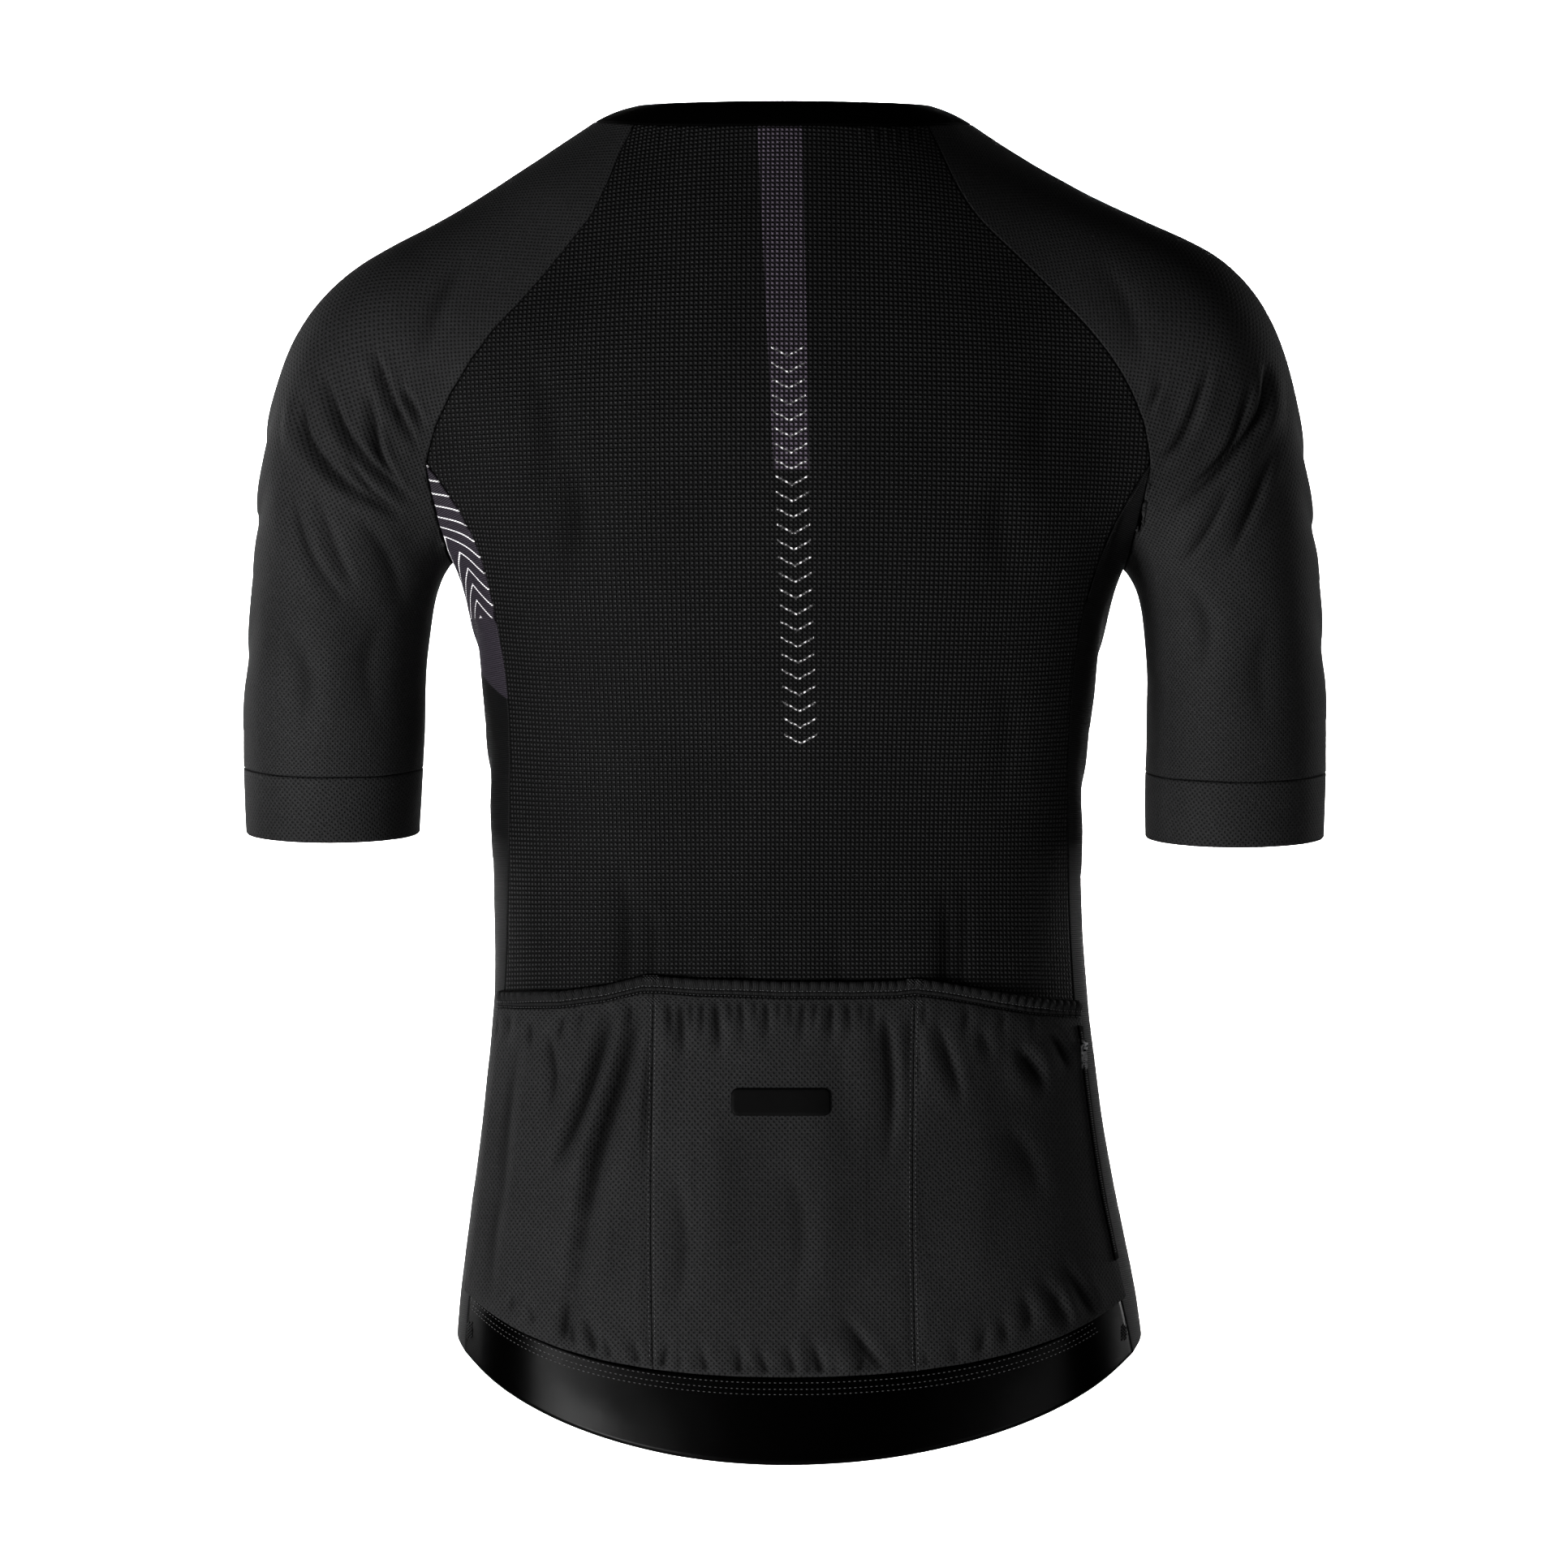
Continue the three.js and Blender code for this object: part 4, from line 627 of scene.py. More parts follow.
SLEEVE_FOLDS = [
    fold([(260, -146), (256, -170), (238, -192), (206, -214)], 2.6, 3.6, lean=0.35, peak=0.35),
    fold([(249, -132), (237, -164), (219, -187), (196, -206)], 2.6, 3.4, lean=0.35, peak=0.3),
    fold([(222, -146), (217, -178), (205, -197)], 2.3, 2.8, lean=0.3, peak=0.4),
    fold([(221, -122), (210, -150), (195, -178)], 2.2, 2.4, lean=0.3, peak=0.4),
    fold([(206, -142), (192, -166)], 2, 1.8),
    fold([(236, -178), (222, -199), (205, -212)], 2, 1.8, peak=0.6),
    fold([(267, -194), (256, -232), (236, -260)], 3.6, 1.5),
    fold([(256, -190), (241, -232), (231, -251)], 3.2, 1.3),
    fold([(230, -212), (214, -236), (206, -262)], 6, 1.3),
    fold([(270, -270), (258, -300), (262, -330)], 9, 1.0),
    fold([(215, -262), (226, -290), (222, -322)], 8, 1.0),
    fold([(170, -70), (186, -100), (196, -130)], 8, 1.0),
    fold([(-260, -130), (-255, -158), (-231, -190), (-208, -210)], 2.6, 3.4, lean=-0.35, peak=0.4),
    fold([(-229, -130), (-214, -168), (-200, -184)], 2.3, 2.8, lean=-0.3, peak=0.4),
    fold([(-251, -140), (-239, -175), (-215, -200)], 2.3, 2.4, lean=-0.3),
    fold([(-264, -176), (-252, -207), (-239, -236)], 3.2, 2.0),
    fold([(-205, -136), (-194, -160)], 2, 1.8),
    fold([(-241, -194), (-227, -221), (-212, -241)], 2.9, 1.6),
    fold([(-214, -246), (-226, -270), (-224, -300)], 7, 1.0),
    fold([(-262, -262), (-254, -296), (-260, -330)], 9, 1.0),
    fold([(-168, -72), (-184, -104), (-192, -132)], 8, 1.0),
    fold([(256, -138), (246, -172), (206, -212)], 2.9, 3.0, seen="front", lean=0.3),
    fold([(230, -128), (216, -158), (196, -184)], 2.6, 2.4, seen="front"),
    fold([(262, -186), (250, -226), (230, -256)], 3.6, 1.8, seen="front"),
    fold([(222, -250), (232, -286), (226, -322)], 8, 1.0, seen="front"),
    fold([(-256, -140), (-244, -176), (-205, -214)], 2.9, 3.0, seen="front", lean=-0.3),
    fold([(-230, -126), (-218, -156), (-198, -182)], 2.6, 2.4, seen="front"),
    fold([(-262, -190), (-248, -228), (-232, -262)], 3.6, 1.8, seen="front"),
    fold([(-226, -256), (-234, -290), (-224, -326)], 8, 1.0, seen="front"),
    fold([(20, -150), (-6, -176), (-30, -178)], 8, 1.3, seen="left"),
    fold([(24, -190), (0, -214), (-30, -210)], 7, 1.0, seen="left"),
    fold([(18, -156), (-4, -182), (-28, -180)], 8, 1.3, seen="right"),
    fold([(22, -196), (0, -218), (-26, -214)], 7, 1.0, seen="right"),
    fold([(14, -262), (-16, -290), (-44, -286)], 9, 1.0, seen="left"),
    fold([(14, -258), (-14, -284), (-40, -282)], 9, 1.0, seen="right"),
]


def slit_under_arm(tube, line):
    """Marks the line along which a tube of cloth is cut to lie flat, on the body's side of the arm."""
    side = math.copysign(1, line[0].x)
    for edge in tube.edges:
        if len(edge.link_faces) == 2:
            away = [from_line(face.calc_center_median(), line) for face in edge.link_faces]
            edge.seam = away[0].y * away[1].y < 0 and all(gap.x * side < 0 for gap in away)


mesh_knit = knit("mesh knit", (0.0185, 0.0185, 0.0189), pitted, 0.0006, rough=0.7, gloss=0.08)
for node in ("sleeve_left", "sleeve_right", "cuff_left", "cuff_right"):
    tube = cut_out(node)
    slit_under_arm(tube, middle_line(node))
    cut, flat, area = laid_flat(f"{node}_cloth", tube)
    sleeve = tailored(f"{node}_cloth", node, cut, SLEEVE_FOLDS)
    sleeve.data.materials.append(mesh_knit)

# Collar
# A low stand-up band of soft black knit, folded over at its top edge and overlocked to the neck.


def plain_knit(tree, u, v, here, colour):
    return ramped(tree, calc(tree, "ABSOLUTE", waves(tree, u, 0.0016)), 0.0, 0.8), colour


cut, flat, area = laid_flat("collar_band", cut_out("collar"), bent=True)
collar = tailored("collar_band", "collar", cut, thick=0.0014)
collar_knit = knit("collar knit", (0.0006, 0.0006, 0.0006), plain_knit, 0.00012, rough=0.7, gloss=0.02)
collar.data.materials.append(collar_knit)

# Hem band
# A wide satin elastic along the back hem that grips the hips. It lies flat, and three rows of stitches hold it.


def satin(tree, u, v, here, colour):
    return ramped(tree, calc(tree, "ABSOLUTE", waves(tree, u, 0.0009)), 0.0, 1.0), colour


cut, flat, area = laid_flat("gripper", cut_out("hem_band"), bent=True)
gripper = tailored("gripper", "hem_band", cut, rough=0.0002, thick=0.0012)
elastic = knit("satin elastic", (0.0004, 0.0004, 0.0004), satin, 0.00002, rough=0.23, gloss=0.055)
gripper.data.materials.append(elastic)

# Pockets
# Three patch pockets of mesh knit lie on the back panel. They are gathered a little into the binding above and the
# hem band below, and two double rows of stitches divide them.
POCKET = {
    "lift": 0.0036, "least": 0.0004, "ring": 0.0004, "sunk": 0.0002, "pinned": 0.006, "full": 0.0006,
    "rough": 0.0005,
}
TOP_RISE = {
    "x": np.array((-160, -132, -115, -84, -70, -60, -37, 0, 47, 66, 76, 96, 120, 153)) / 1000,
    "z": np.array((2.4, 1.8, 2.7, 5.4, 6.0, 4.2, 2.6, 2.0, 4.0, 6.0, 6.4, 2.4, 0.4, 1.8)) / 1000,
    "from": -0.56, "full": -0.495, "binding": 0.0023,
}
POCKET_FOLDS = [
    fold([(92, -474), (104, -515), (116, -546), (124, -562)], 4.2, 4.6, peak=0.3, lean=-0.3, ridge=0.3),
    fold([(76, -470), (87, -510), (100, -552), (107, -588), (117, -655)], 5.4, 5.6, peak=0.35, lean=-0.3, ridge=0.35),
    fold([(127, -488), (123, -514), (126, -532)], 3.2, 1.6, peak=0.3),
    fold([(137, -484), (135, -500)], 2.6, 1.4, peak=0.3),
    fold([(118, -480), (121, -496)], 2.6, 1.4, peak=0.3),
    fold([(142, -490), (149, -540), (153, -600)], 5, 1.2),
    fold([(150, -560), (156, -600), (158, -636)], 4, 1.0),
    fold([(-16, -500), (-22, -570), (-18, -650)], 16, -1.6),
    fold([(-100, -500), (-104, -560), (-102, -630)], 14, -1.4),
    fold([(40, -520), (34, -580), (38, -640)], 13, -1.2),
    fold([(-53, -478), (-57, -520), (-55, -560)], 5, 2.2, peak=0.25),
    fold([(-66, -480), (-70, -506), (-68, -530)], 4, 1.6, peak=0.3),
    fold([(-81, -483), (-90, -510), (-95, -528)], 3.4, 2.0, peak=0.4),
    fold([(-104, -488), (-112, -504)], 2.8, 1.4, peak=0.4),
    fold([(-124, -498), (-133, -508), (-141, -521)], 3.4, 3.0),
    fold([(-141, -490), (-149, -499), (-153, -510)], 2.8, 2.2),
    fold([(-118, -540), (-130, -556), (-138, -580)], 6, 1.2),
    fold([(-148, -612), (-160, -630), (-168, -644)], 3.4, 1.8, peak=0.6),
    fold([(-136, -620), (-148, -638), (-154, -650)], 3.2, 1.6, peak=0.6),
    fold([(-30, -640), (-42, -656), (-56, -674)], 3.6, 2.4, peak=0.6),
    fold([(60, -560), (54, -600), (58, -640)], 7, 1.0),
    fold([(0, -560), (-8, -590), (-4, -640)], 8, 0.9),
]
for mark, length, wide, deep in (
    (62, 20, 2.6, 1.5), (56, 30, 3.4, 1.9), (50, 18, 2.6, 1.3), (44, 22, 2.8, 1.6), (37, 30, 3.2, 2.0),
    (30, 16, 2.6, 1.4), (24, 20, 2.8, 1.6), (16, 14, 2.4, 1.2), (10, 22, 2.8, 1.7), (3, 16, 2.6, 1.3),
    (-3, 18, 2.6, 1.4), (-10, 24, 2.8, 1.6), (-17, 18, 2.6, 1.5), (-25, 24, 3.0, 1.8), (-33, 20, 2.8, 1.6),
    (-41, 16, 2.6, 1.3), (-47, 18, 2.6, 1.3), (-75, 14, 2.4, 1.2), (-98, 16, 2.6, 1.3), (-118, 12, 2.4, 1.1),
    (-133, 10, 2.4, 1.1), (82, 14, 2.4, 1.2), (108, 14, 2.4, 1.2), (148, 12, 2.4, 1.1), (155, 12, 2.4, 1.0),
):
    top = -471 - 12 * (mark / 160) ** 2
    drift = 0.12 * length * math.sin(mark)
    marks = [(mark, top), (mark + drift / 2, top - length / 2), (mark + drift, top - length)]
    POCKET_FOLDS.append(fold(marks, wide, deep, peak=0.3, lean=0.1 * math.sin(2 * mark)))
for mark, length, wide, deep in (
    (118, 26, 3.4, 1.8), (112, 18, 2.8, 1.4), (101, 22, 3.2, 1.8), (93, 16, 2.8, 1.4), (78, 18, 3.0, 1.6),
    (66, 22, 3.0, 1.8), (58, 16, 2.6, 1.5), (48, 14, 2.6, 1.3), (41, 22, 3.0, 1.9), (33, 14, 2.6, 1.3),
    (24, 26, 3.2, 2.0), (16, 18, 2.8, 1.6), (8, 24, 3.0, 1.9), (1, 16, 2.6, 1.5), (-6, 26, 3.0, 2.0),
    (-13, 18, 2.8, 1.7), (-21, 28, 3.4, 2.2), (-29, 16, 2.8, 1.6), (-38, 22, 3.0, 1.9), (-47, 14, 2.6, 1.4),
    (-60, 12, 2.6, 1.1), (-76, 14, 2.8, 1.2), (-90, 12, 2.6, 1.1), (-104, 18, 3.0, 1.5), (-118, 14, 2.8, 1.3),
    (-132, 20, 3.0, 1.6), (-146, 14, 2.6, 1.2), (134, 14, 2.6, 1.2), (146, 12, 2.6, 1.1),
):
    foot = -681 + 54 * (abs(mark) / 165) ** 2.2
    drift = 0.3 * length * math.sin(1.7 * mark)
    marks = [(mark, foot), (mark + drift / 3, foot + length / 2), (mark + drift, foot + length)]
    POCKET_FOLDS.append(fold(marks, wide, deep, peak=0.3, lean=0.1 * math.sin(3 * mark)))


def cut_apart(node, levels):
    """A piece that lies on the sewn cloth, rounded by itself."""
    return shape_of(rounded(as_mesh(node, outer_face(node)), levels))


def laid_on(points, surface, lift):
    """Points moved onto a surface, at a height over it, and the surface's normals there."""
    laid, facing = [], []
    for point, height in zip(points, np.broadcast_to(lift, len(points))):
        spot, normal, _, _ = surface.find_nearest(Vector(point))
        laid.append(spot + normal * height)
        facing.append(normal)
    return np.array(laid), np.array(facing)


def surface_of(*meshes):
    """A surface to lay things on, of one or more pieces."""
    verts, faces = [], []
    for mesh in meshes:
        start = len(verts)
        verts.extend(vert.co.copy() for vert in mesh.vertices)
        faces.extend([start + i for i in polygon.vertices] for polygon in mesh.polygons)
    return BVHTree.FromPolygons(verts, faces)


def raised_tops(points, shrink):
    """Lifts the pockets' top edge where the bars at the divides hold it up, fading out below."""
    raised = points.copy()
    rise = np.interp(points[:, 0], TOP_RISE["x"], TOP_RISE["z"]) + shrink
    raised[:, 2] += rise * soft_step(TOP_RISE["from"], TOP_RISE["full"], points[:, 2])
    return raised


sewn_surface = surface_of(sewn_cloth)
pockets = []
for node in ("pocket_left", "pocket_middle", "pocket_right"):
    cut, flat, area = laid_flat(f"{node}_cloth", cut_apart(node, 3))
    cut = ringed(f"{node}_cloth", cut, POCKET["ring"])
    points = points_of(cut)
    laid, facing = laid_on(raised_tops(points, TOP_RISE["binding"]), sewn_surface, POCKET["lift"])
    away = border_distance(cut, points)
    pinned = soft_step(0, POCKET["pinned"], away)
    out, valley_shade = creased(laid, facing, POCKET_FOLDS)
    out = (out + POCKET["rough"] * uneven(points, 0.03, 5) + POCKET["full"]) * pinned
    out -= POCKET["sunk"] * (1 - soft_step(0, 0.0005, away))
    # The pocket carries how much painted shade each point gets in a fold's trough; its material darkens the base
    # colour by it
    carry(cut, "valley_shade", valley_shade * soft_step(0, 0.002, away))
    laid += facing * np.maximum(out, POCKET["least"] - POCKET["lift"])[:, None]
    move_points(cut, laid)
    shape = shape_of(cut)
    inner = [vert for vert in shape.verts if not vert.is_boundary]
    for _ in range(3):
        bmesh.ops.smooth_vert(shape, verts=inner, factor=0.5, use_axis_x=True, use_axis_y=True, use_axis_z=True)
    pocket = placed(f"{node}_cloth", as_mesh(f"{node}_cloth", shape), thick=0.0007)
    pocket.data.materials.append(mesh_knit)
    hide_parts(node)
    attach(pocket, "jersey")
    pockets.append(pocket)

# Pocket binding
# A folded strip with elastic in it closes the pockets' top edges. It is gathered all along, and two rows of
# coverstitch run below its plump upper half.
RUFFLE = {"pitch": 0.0052, "high": 0.0018}
BINDING = {"lift": 0.0036, "plump": 0.0016, "end": 0.62, "rows": (0.68, 0.93)}


def grooved(tree, u, v, here, colour):
    """Fine knit with a groove under each row of stitches and puckers between them."""
    height, paint = plain_knit(tree, u, v, here, colour)
    for row in BINDING["rows"]:
        # The grooves' low height also darkens the base colour through the knit, as painted shade under the stitches
        away = gap_of(tree, carried(tree, "down"), row)
        height = times(tree, height, ramped(tree, away, 0.015, 0.06, 0.15, 1.0))
    return height, paint


def border_of(mesh, pick, falling=False):
    """Middles of the border's edges that pick keeps, in order, with the way from each into the piece."""
    shape = shape_of(mesh)
    found = []
    for edge in shape.edges:
        if edge.is_boundary:
            middle = (edge.verts[0].co + edge.verts[1].co) / 2
            inwards = edge.link_faces[0].calc_center_median() - middle
            inwards = Vector((inwards.x, 0, inwards.z)).normalized()
            if pick(middle, inwards):
                found.append((middle.copy(), inwards))
    shape.free()
    found.sort(key=lambda spot: -spot[0].z if falling else spot[0].x)
    return np.array([spot[0] for spot in found]), np.array([spot[1] for spot in found])


cut, flat, area = laid_flat("binding", cut_apart("pocket_binding", 3), bent=True)
points = points_of(cut)
top, _ = border_of(cut, lambda spot, inwards: inwards.z < -0.5)
foot, _ = border_of(cut, lambda spot, inwards: inwards.z > 0.5)
top_height, foot_height = (np.interp(points[:, 0], line[:, 0], line[:, 2]) for line in (top, foot))
down = np.clip((top_height - points[:, 2]) / (top_height - foot_height), 0, 1)
along = np.interp(points[:, 0], top[:, 0], np.r_[0, np.cumsum(np.linalg.norm(np.diff(top, axis=0), axis=1))])
shift = 0.8 * uneven(points * (1, 1, 0), 0.018, 7)
wave = np.abs(np.sin(np.pi * along / RUFFLE["pitch"] + 3 * shift + 0.5 * down)) ** 0.7 - 0.8
wave *= 0.7 + 0.6 * uneven(points * (1, 1, 0), 0.03, 9)
plump = np.sin(np.pi * np.clip(down / BINDING["end"], 0, 1)) ** 0.6
lift = BINDING["lift"] + BINDING["plump"] * plump + RUFFLE["high"] * wave * (0.35 + 0.65 * plump)
lift -= 0.0014 * (1 - soft_step(0, 0.08, down)) + 0.0016 * soft_step(0.9, 1, down)
points = raised_tops(points, 0)
points[:, 2] += TOP_RISE["binding"] * down
laid, facing = laid_on(points, sewn_surface, lift)
carry(cut, "down", down)
move_points(cut, laid)
binding = placed("binding", cut, thick=0.001)
binding.data.materials.append(knit("binding knit", (0.0165, 0.0165, 0.0168), grooved, 0.0008, rough=0.66, gloss=0.09))
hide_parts("pocket_binding")
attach(binding, "jersey")

# Stitching
# Dark grey thread that catches the light: two rows below the pockets' binding, a double row down each divide,
# and three rows along the hem band's top. Short dense bars lock the ends.
# Each kind of row: the pitch of its stitches, and their length, width and height
STITCHES = {
    "binding": (0.0021, (0.0014, 0.00055, 0.0005)),
    "hem": (0.0028, (0.0016, 0.0005, 0.0004)),
    "divide": (0.0026, (0.0015, 0.00055, 0.0005)),
}
THREAD = {"grey": (0.075, 0.075, 0.078), "bright": (0.09, 0.09, 0.092), "dark": (0.03, 0.03, 0.031)}
sewn_on = [pocket.data for pocket in pockets] + [binding.data, gripper.data, back.data]
all_pockets = surface_of(*sewn_on)
side_panels = [bpy.data.objects[f"side_{side}_cloth"].data for side in ("left", "right")]
all_outside = surface_of(*sewn_on, *side_panels)


def along_line(line, inwards, pitch):
    """Evenly spaced points of a line, with the way into the piece."""
    steps = np.r_[0, np.cumsum(np.linalg.norm(np.diff(line, axis=0), axis=1))]
    place = np.arange(pitch / 2, steps[-1], pitch)
    spots, into = (
        np.stack([np.interp(place, steps, values[:, k]) for k in range(3)], axis=1) for values in (line, inwards)
    )
    return spots, into / np.linalg.norm(into, axis=1)[:, None]


def stitch_row(line, inwards, surface, distance, pitch, size, lift=0.0001):
    """Frames of the stitches of one row: a place and three half-axes each."""
    spots, into = along_line(line, inwards, pitch)
    laid, facing = laid_on(spots + into * distance, surface, lift)
    ahead = np.gradient(laid, axis=0)
    ahead /= np.linalg.norm(ahead, axis=1)[:, None]
    across = np.cross(facing, ahead)
    long, wide, high = size
    return np.stack([laid, ahead * long / 2, across * wide / 2, facing * high / 2], axis=1)


def sewn(name, rows, material):
    """All the stitches of some rows as one piece, each a small rounded bead."""
    bead = bmesh.new()
    bmesh.ops.create_icosphere(bead, subdivisions=1, radius=1)
    bead = as_mesh(f"{name}_bead", bead)
    sewing = bmesh.new()
    for spot, ahead, across, up in np.concatenate(rows):
        first = len(sewing.verts)
        sewing.from_mesh(bead)
        sewing.verts.ensure_lookup_table()
        axes = Matrix((ahead, across, up)).transposed()
        for vert in sewing.verts[first:]:
            vert.co = axes @ vert.co + Vector(spot)
    stitches = placed(name, as_mesh(name, sewing))
    stitches.data.materials.append(material)
    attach(stitches, "jersey")
    return stitches


def thread(name, colour):
    """Twisted polyester thread with fine plies."""
    material, tree, shader = new_material(name)
    shader.inputs["Roughness"].default_value = 0.5
    dark = tuple(part * 0.55 for part in colour)
    tree.links.new(tinted(tree, speckle(tree, 2500), dark, colour), shader.inputs["Base Color"])
    return material


grey_thread = thread("grey thread", THREAD["grey"])
bright_thread = thread("bright thread", THREAD["bright"])
binding_foot = border_of(binding.data, lambda spot, inwards: inwards.z > 0.5)
rows = [stitch_row(*binding_foot, all_pockets, away, *STITCHES["binding"]) for away in (0.0008, 0.0042)]
sewn("binding_stitches", rows, grey_thread)
band_top = border_of(gripper.data, lambda spot, inwards: inwards.z < -0.5 and spot.z > -0.69)
inner = np.abs(band_top[0][:, 0]) < 0.166
band_top = (band_top[0][inner], band_top[1][inner])
rows = [stitch_row(*band_top, all_pockets, away, *STITCHES["hem"]) for away in (0.0032, 0.0066, 0.0094)]
sewn("hem_stitches", rows, bright_thread)
rows = []
for sign in (1, -1):
    divide = border_of(pockets[1].data, lambda spot, inwards: inwards.x * sign < -0.5, falling=True)
    for distance in (-0.0016, 0.0016):
        rows.append(stitch_row(*divide, all_pockets, distance, *STITCHES["divide"]))
sewn("divide_stitches", rows, grey_thread)

# Bars: the place and turn of each
TACKS = (
    (0.0710, -0.4605, 0), (-0.0702, -0.4625, 0), (0.0706, -0.4725, 0), (-0.0700, -0.4735, 0), (0.169, -0.651, 90),
    (-0.1835, -0.652, 90),
)
BEHIND = 0.3  # rays start here, well behind the back
TACK = {"rows": 4, "apart": 0.0008, "wide": 0.0078, "pitch": 0.0017}
rows = []
for x, z, turn in TACKS:
    spots = []
    for row in range(TACK["rows"]):
        for step in np.arange(-TACK["wide"] / 2, TACK["wide"] / 2, TACK["pitch"]):
            spots.append((step + TACK["pitch"] / 2 * (row % 2), (row - TACK["rows"] / 2) * TACK["apart"]))
    spots = np.array(spots)
    turned = math.radians(turn)
    spots = spots @ np.array(((math.cos(turned), math.sin(turned)), (-math.sin(turned), math.cos(turned))))
    places = np.c_[x + spots[:, 0], np.full(len(spots), BEHIND), z + spots[:, 1]]
    nearest = [all_outside.ray_cast(Vector(place), Vector((0, -1, 0))) for place in places]
    for spot, normal, _, _ in nearest:
        ahead = Vector((math.cos(turned + 0.35), 0, math.sin(turned + 0.35)))
        ahead = (ahead - normal * ahead.dot(normal)).normalized()
        across = normal.cross(ahead)
        rows.append([[spot + normal * 0.0002, ahead * 0.00085, across * 0.00026, normal * 0.00026]])
dark_thread = thread("dark thread", THREAD["dark"])
sewn("bars", [np.array(rows).reshape(-1, 4, 3)], dark_thread)

# Rubbery patch on the middle pocket
# A small welded patch of matt rubber with rounded corners. Its raised name is left off.
PATCH = {"x": 0.0017, "z": -0.5266, "half": (0.0264, 0.00735), "corner": 0.0036, "thick": 0.0008}
shape = bmesh.new()
bmesh.ops.create_grid(shape, x_segments=48, y_segments=14, size=1)
points = np.array([vert.co for vert in shape.verts])[:, :2] * PATCH["half"]
inner = np.clip(points, -np.array(PATCH["half"]) + PATCH["corner"], np.array(PATCH["half"]) - PATCH["corner"])
past = points - inner
reach = np.linalg.norm(past, axis=1)
square = np.abs(past).max(axis=1)
past *= np.where(reach > 0, square / np.maximum(reach, 1e-9), 1)[:, None]  # square corners become round
points = inner + past
edge = PATCH["corner"] - square
pocket_surface = surface_of(pockets[1].data)
for vert, (x, z), near in zip(shape.verts, points, edge):
    spot, normal, _, _ = pocket_surface.ray_cast(Vector((PATCH["x"] + x, BEHIND, PATCH["z"] + z)), Vector((0, -1, 0)))
    round_edge = 0.0003 * (1 - min(near / 0.0006, 1)) ** 2
    vert.co = spot + normal * (PATCH["thick"] + 0.0001 - round_edge)
bmesh.ops.recalc_face_normals(shape, faces=shape.faces)
if sum(face.normal.y for face in shape.faces) < 0:
    bmesh.ops.reverse_faces(shape, faces=shape.faces)
patch = placed("patch", as_mesh("patch", shape), PATCH["thick"])
rubber, tree, shader = new_material("matt rubber")
shader.inputs["Specular IOR Level"].default_value = 0.08
grain = speckle(tree, 1500)
black = tinted(tree, grain, (0.0012, 0.0012, 0.0012), (0.0024, 0.0024, 0.0024))
tree.links.new(black, shader.inputs["Base Color"])
tree.links.new(ramped(tree, grain, 0.3, 0.7, 0.5, 0.62), shader.inputs["Roughness"])
patch.data.materials.append(rubber)
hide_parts("label_patch")
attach(patch, "jersey")

# Zips
# The front opens with a full-length coil zip, and the pocket at the wearer's right has a short one beside the side
# seam. Each has woven tape, a moulded coil sewn along its middle, and a dark metal slider with a pull.
TAPE = {"wide": 0.01, "front": 0.585, "pocket": 0.13, "lift": 0.0011}
COIL = {"pitch": 0.0013, "size": (0.0008, 0.0042, 0.0012)}


def twill(tree, u, v, here, colour):
    return ramped(tree, calc(tree, "ABSOLUTE", waves(tree, calc(tree, "ADD", u, v), 0.0014)), 0.0, 0.8), colour


tape_weave = knit("zip tape", (0.0008, 0.0008, 0.0008), twill, 0.0001, rough=0.7, gloss=0.03)
coil_plastic = thread("coil", (0.003, 0.003, 0.003))
cut, flat, area = laid_flat("front_tape", cut_out("front_zip"), bent=True)
front_tape = tailored("front_tape", "front_zip", cut, rough=0, sunk=0.0006)
front_tape.data.materials.append(tape_weave)
cut, flat, area = laid_flat("pocket_tape", cut_apart("pocket_zip", 2), bent=True)
laid, facing = laid_on(points_of(cut), all_pockets, TAPE["lift"])
move_points(cut, laid)
pocket_tape = placed("pocket_tape", cut, thick=0.0008)
pocket_tape.data.materials.append(tape_weave)
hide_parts("pocket_zip")
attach(pocket_tape, "jersey")
front_edge = border_of(front_tape.data, lambda spot, inwards: inwards.x < -0.5, falling=True)
rows = [stitch_row(*front_edge, surface_of(front_tape.data), 0.004, COIL["pitch"], COIL["size"])]
sewn("front_coil", rows, coil_plastic)
pocket_edge = border_of(
    pocket_tape.data, lambda spot, inwards: inwards.x < -0.3 and abs(inwards.z) < 0.7, falling=True
)
rows = [stitch_row(*pocket_edge, surface_of(pocket_tape.data), 0.0023, COIL["pitch"], (0.0008, 0.0024, 0.001))]
sewn("pocket_coil", rows, coil_plastic)

metal, tree, shader = new_material("dark metal")
shader.inputs["Metallic"].default_value = 1
wear = speckle(tree, 700)
tree.links.new(tinted(tree, wear, (0.16, 0.16, 0.165), (0.34, 0.34, 0.345)), shader.inputs["Base Color"])
tree.links.new(ramped(tree, wear, 0.3, 0.7, 0.26, 0.42), shader.inputs["Roughness"])
for node in ("front_zip_slider", "front_zip_pull", "pocket_zip_slider", "pocket_zip_pull"):
    for holder in frame["nodes"][node].material_slots:
        holder.material = metal

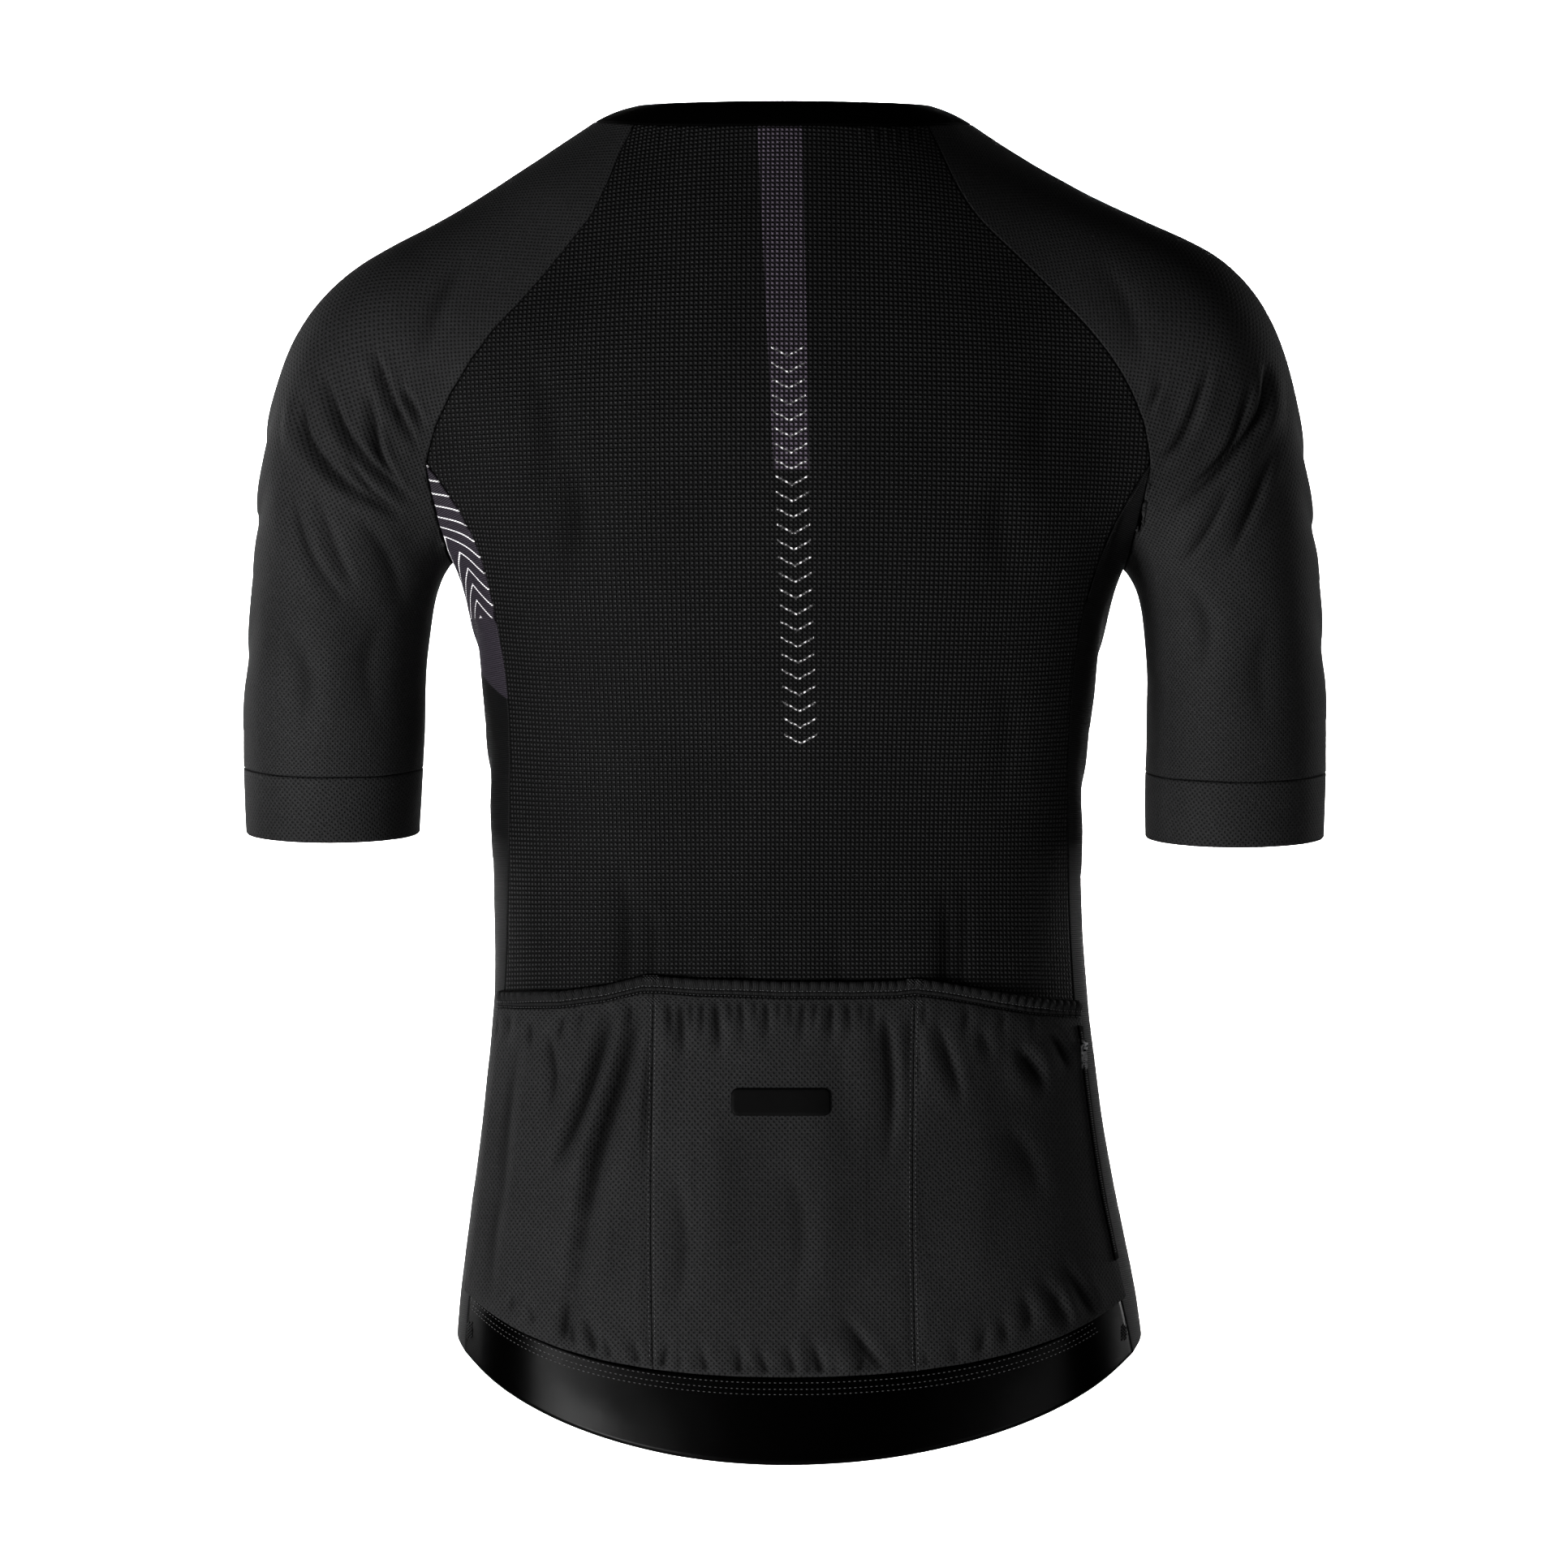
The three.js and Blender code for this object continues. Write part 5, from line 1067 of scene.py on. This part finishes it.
# Floor, light and camera
# A pale floor curves up far behind the garment. Two soft lights stand low on the camera's side, two weaker ones in
# front of the garment and one lights the backdrop. The camera is level and has a long lens.
FLOOR = {"level": -2.2, "near": 6.5, "far": -7.2, "half": 4.5, "top": 3.0, "curve": 0.9}
shape = bmesh.new()
bend = FLOOR["far"] + FLOOR["curve"]
start = shape.verts.new((-FLOOR["half"], FLOOR["near"], FLOOR["level"]))
end = shape.verts.new((-FLOOR["half"], bend, FLOOR["level"]))
shape.edges.new((start, end))
middle = (0, bend, FLOOR["level"] + FLOOR["curve"])
bmesh.ops.spin(shape, geom=[end], cent=middle, axis=(1, 0, 0), angle=-math.pi / 2, steps=16, use_merge=False)
shape.verts.ensure_lookup_table()
last = min(shape.verts, key=lambda vert: (vert.co.y, -vert.co.z))
up = shape.verts.new((-FLOOR["half"], last.co.y, FLOOR["top"]))
shape.edges.new((last, up))
swept = bmesh.ops.extrude_edge_only(shape, edges=list(shape.edges))
moved = [item for item in swept["geom"] if isinstance(item, bmesh.types.BMVert)]
bmesh.ops.translate(shape, verts=moved, vec=(2 * FLOOR["half"], 0, 0))
floor = placed("floor", as_mesh("floor", shape))
pale, tree, shader = new_material("pale floor")
shader.inputs["Base Color"].default_value = (0.8, 0.8, 0.8, 1)
shader.inputs["Roughness"].default_value = 0.9
floor.data.materials.append(pale)

for name, place, aim, size, power in (
    ("left_light", (2.9, 2.85, -1.35), (0, 0, -0.35), 1.2, 345),
    ("right_light", (-3.0, 2.7, -1.2), (0, 0, -0.35), 1.0, 36),
    ("front_left_light", (3.0, -3.2, 0.3), (0, 0, -0.35), 1.4, 80),
    ("front_right_light", (-3.4, -2.8, 0.3), (0, 0, -0.35), 1.4, 70),
    ("backdrop_light", (0, -5.9, 3.2), (0, -7.2, -0.6), 2.4, 420),
):
    lamp = bpy.data.lights.new(name, "AREA")
    lamp.shape, lamp.size, lamp.energy = "SQUARE", size, power
    lamp.spread = math.radians(80 if name == "backdrop_light" else 180)
    light = linked(name, lamp)
    light.location = place
    light.rotation_euler = (Vector(aim) - Vector(place)).to_track_quat("-Z", "Y").to_euler()
world = bpy.data.worlds.new("studio")
world.use_nodes = True
background = world.node_tree.nodes["Background"]
background.inputs[0].default_value = (1, 1, 1, 1)
background.inputs[1].default_value = 0.04
bpy.context.scene.world = world
bpy.context.scene.view_settings.view_transform = "Standard"
bpy.context.scene.view_settings.gamma = 0.8

lens = bpy.data.cameras.new("camera")
lens.sensor_width, lens.lens = 36, 254.1
lens.clip_end = 30
camera = linked("camera", lens)
camera.location = (0, 6, -0.357)
camera.rotation_euler = (math.radians(90), 0, math.radians(180))
bpy.context.scene.camera = camera

bpy.context.view_layer.update()
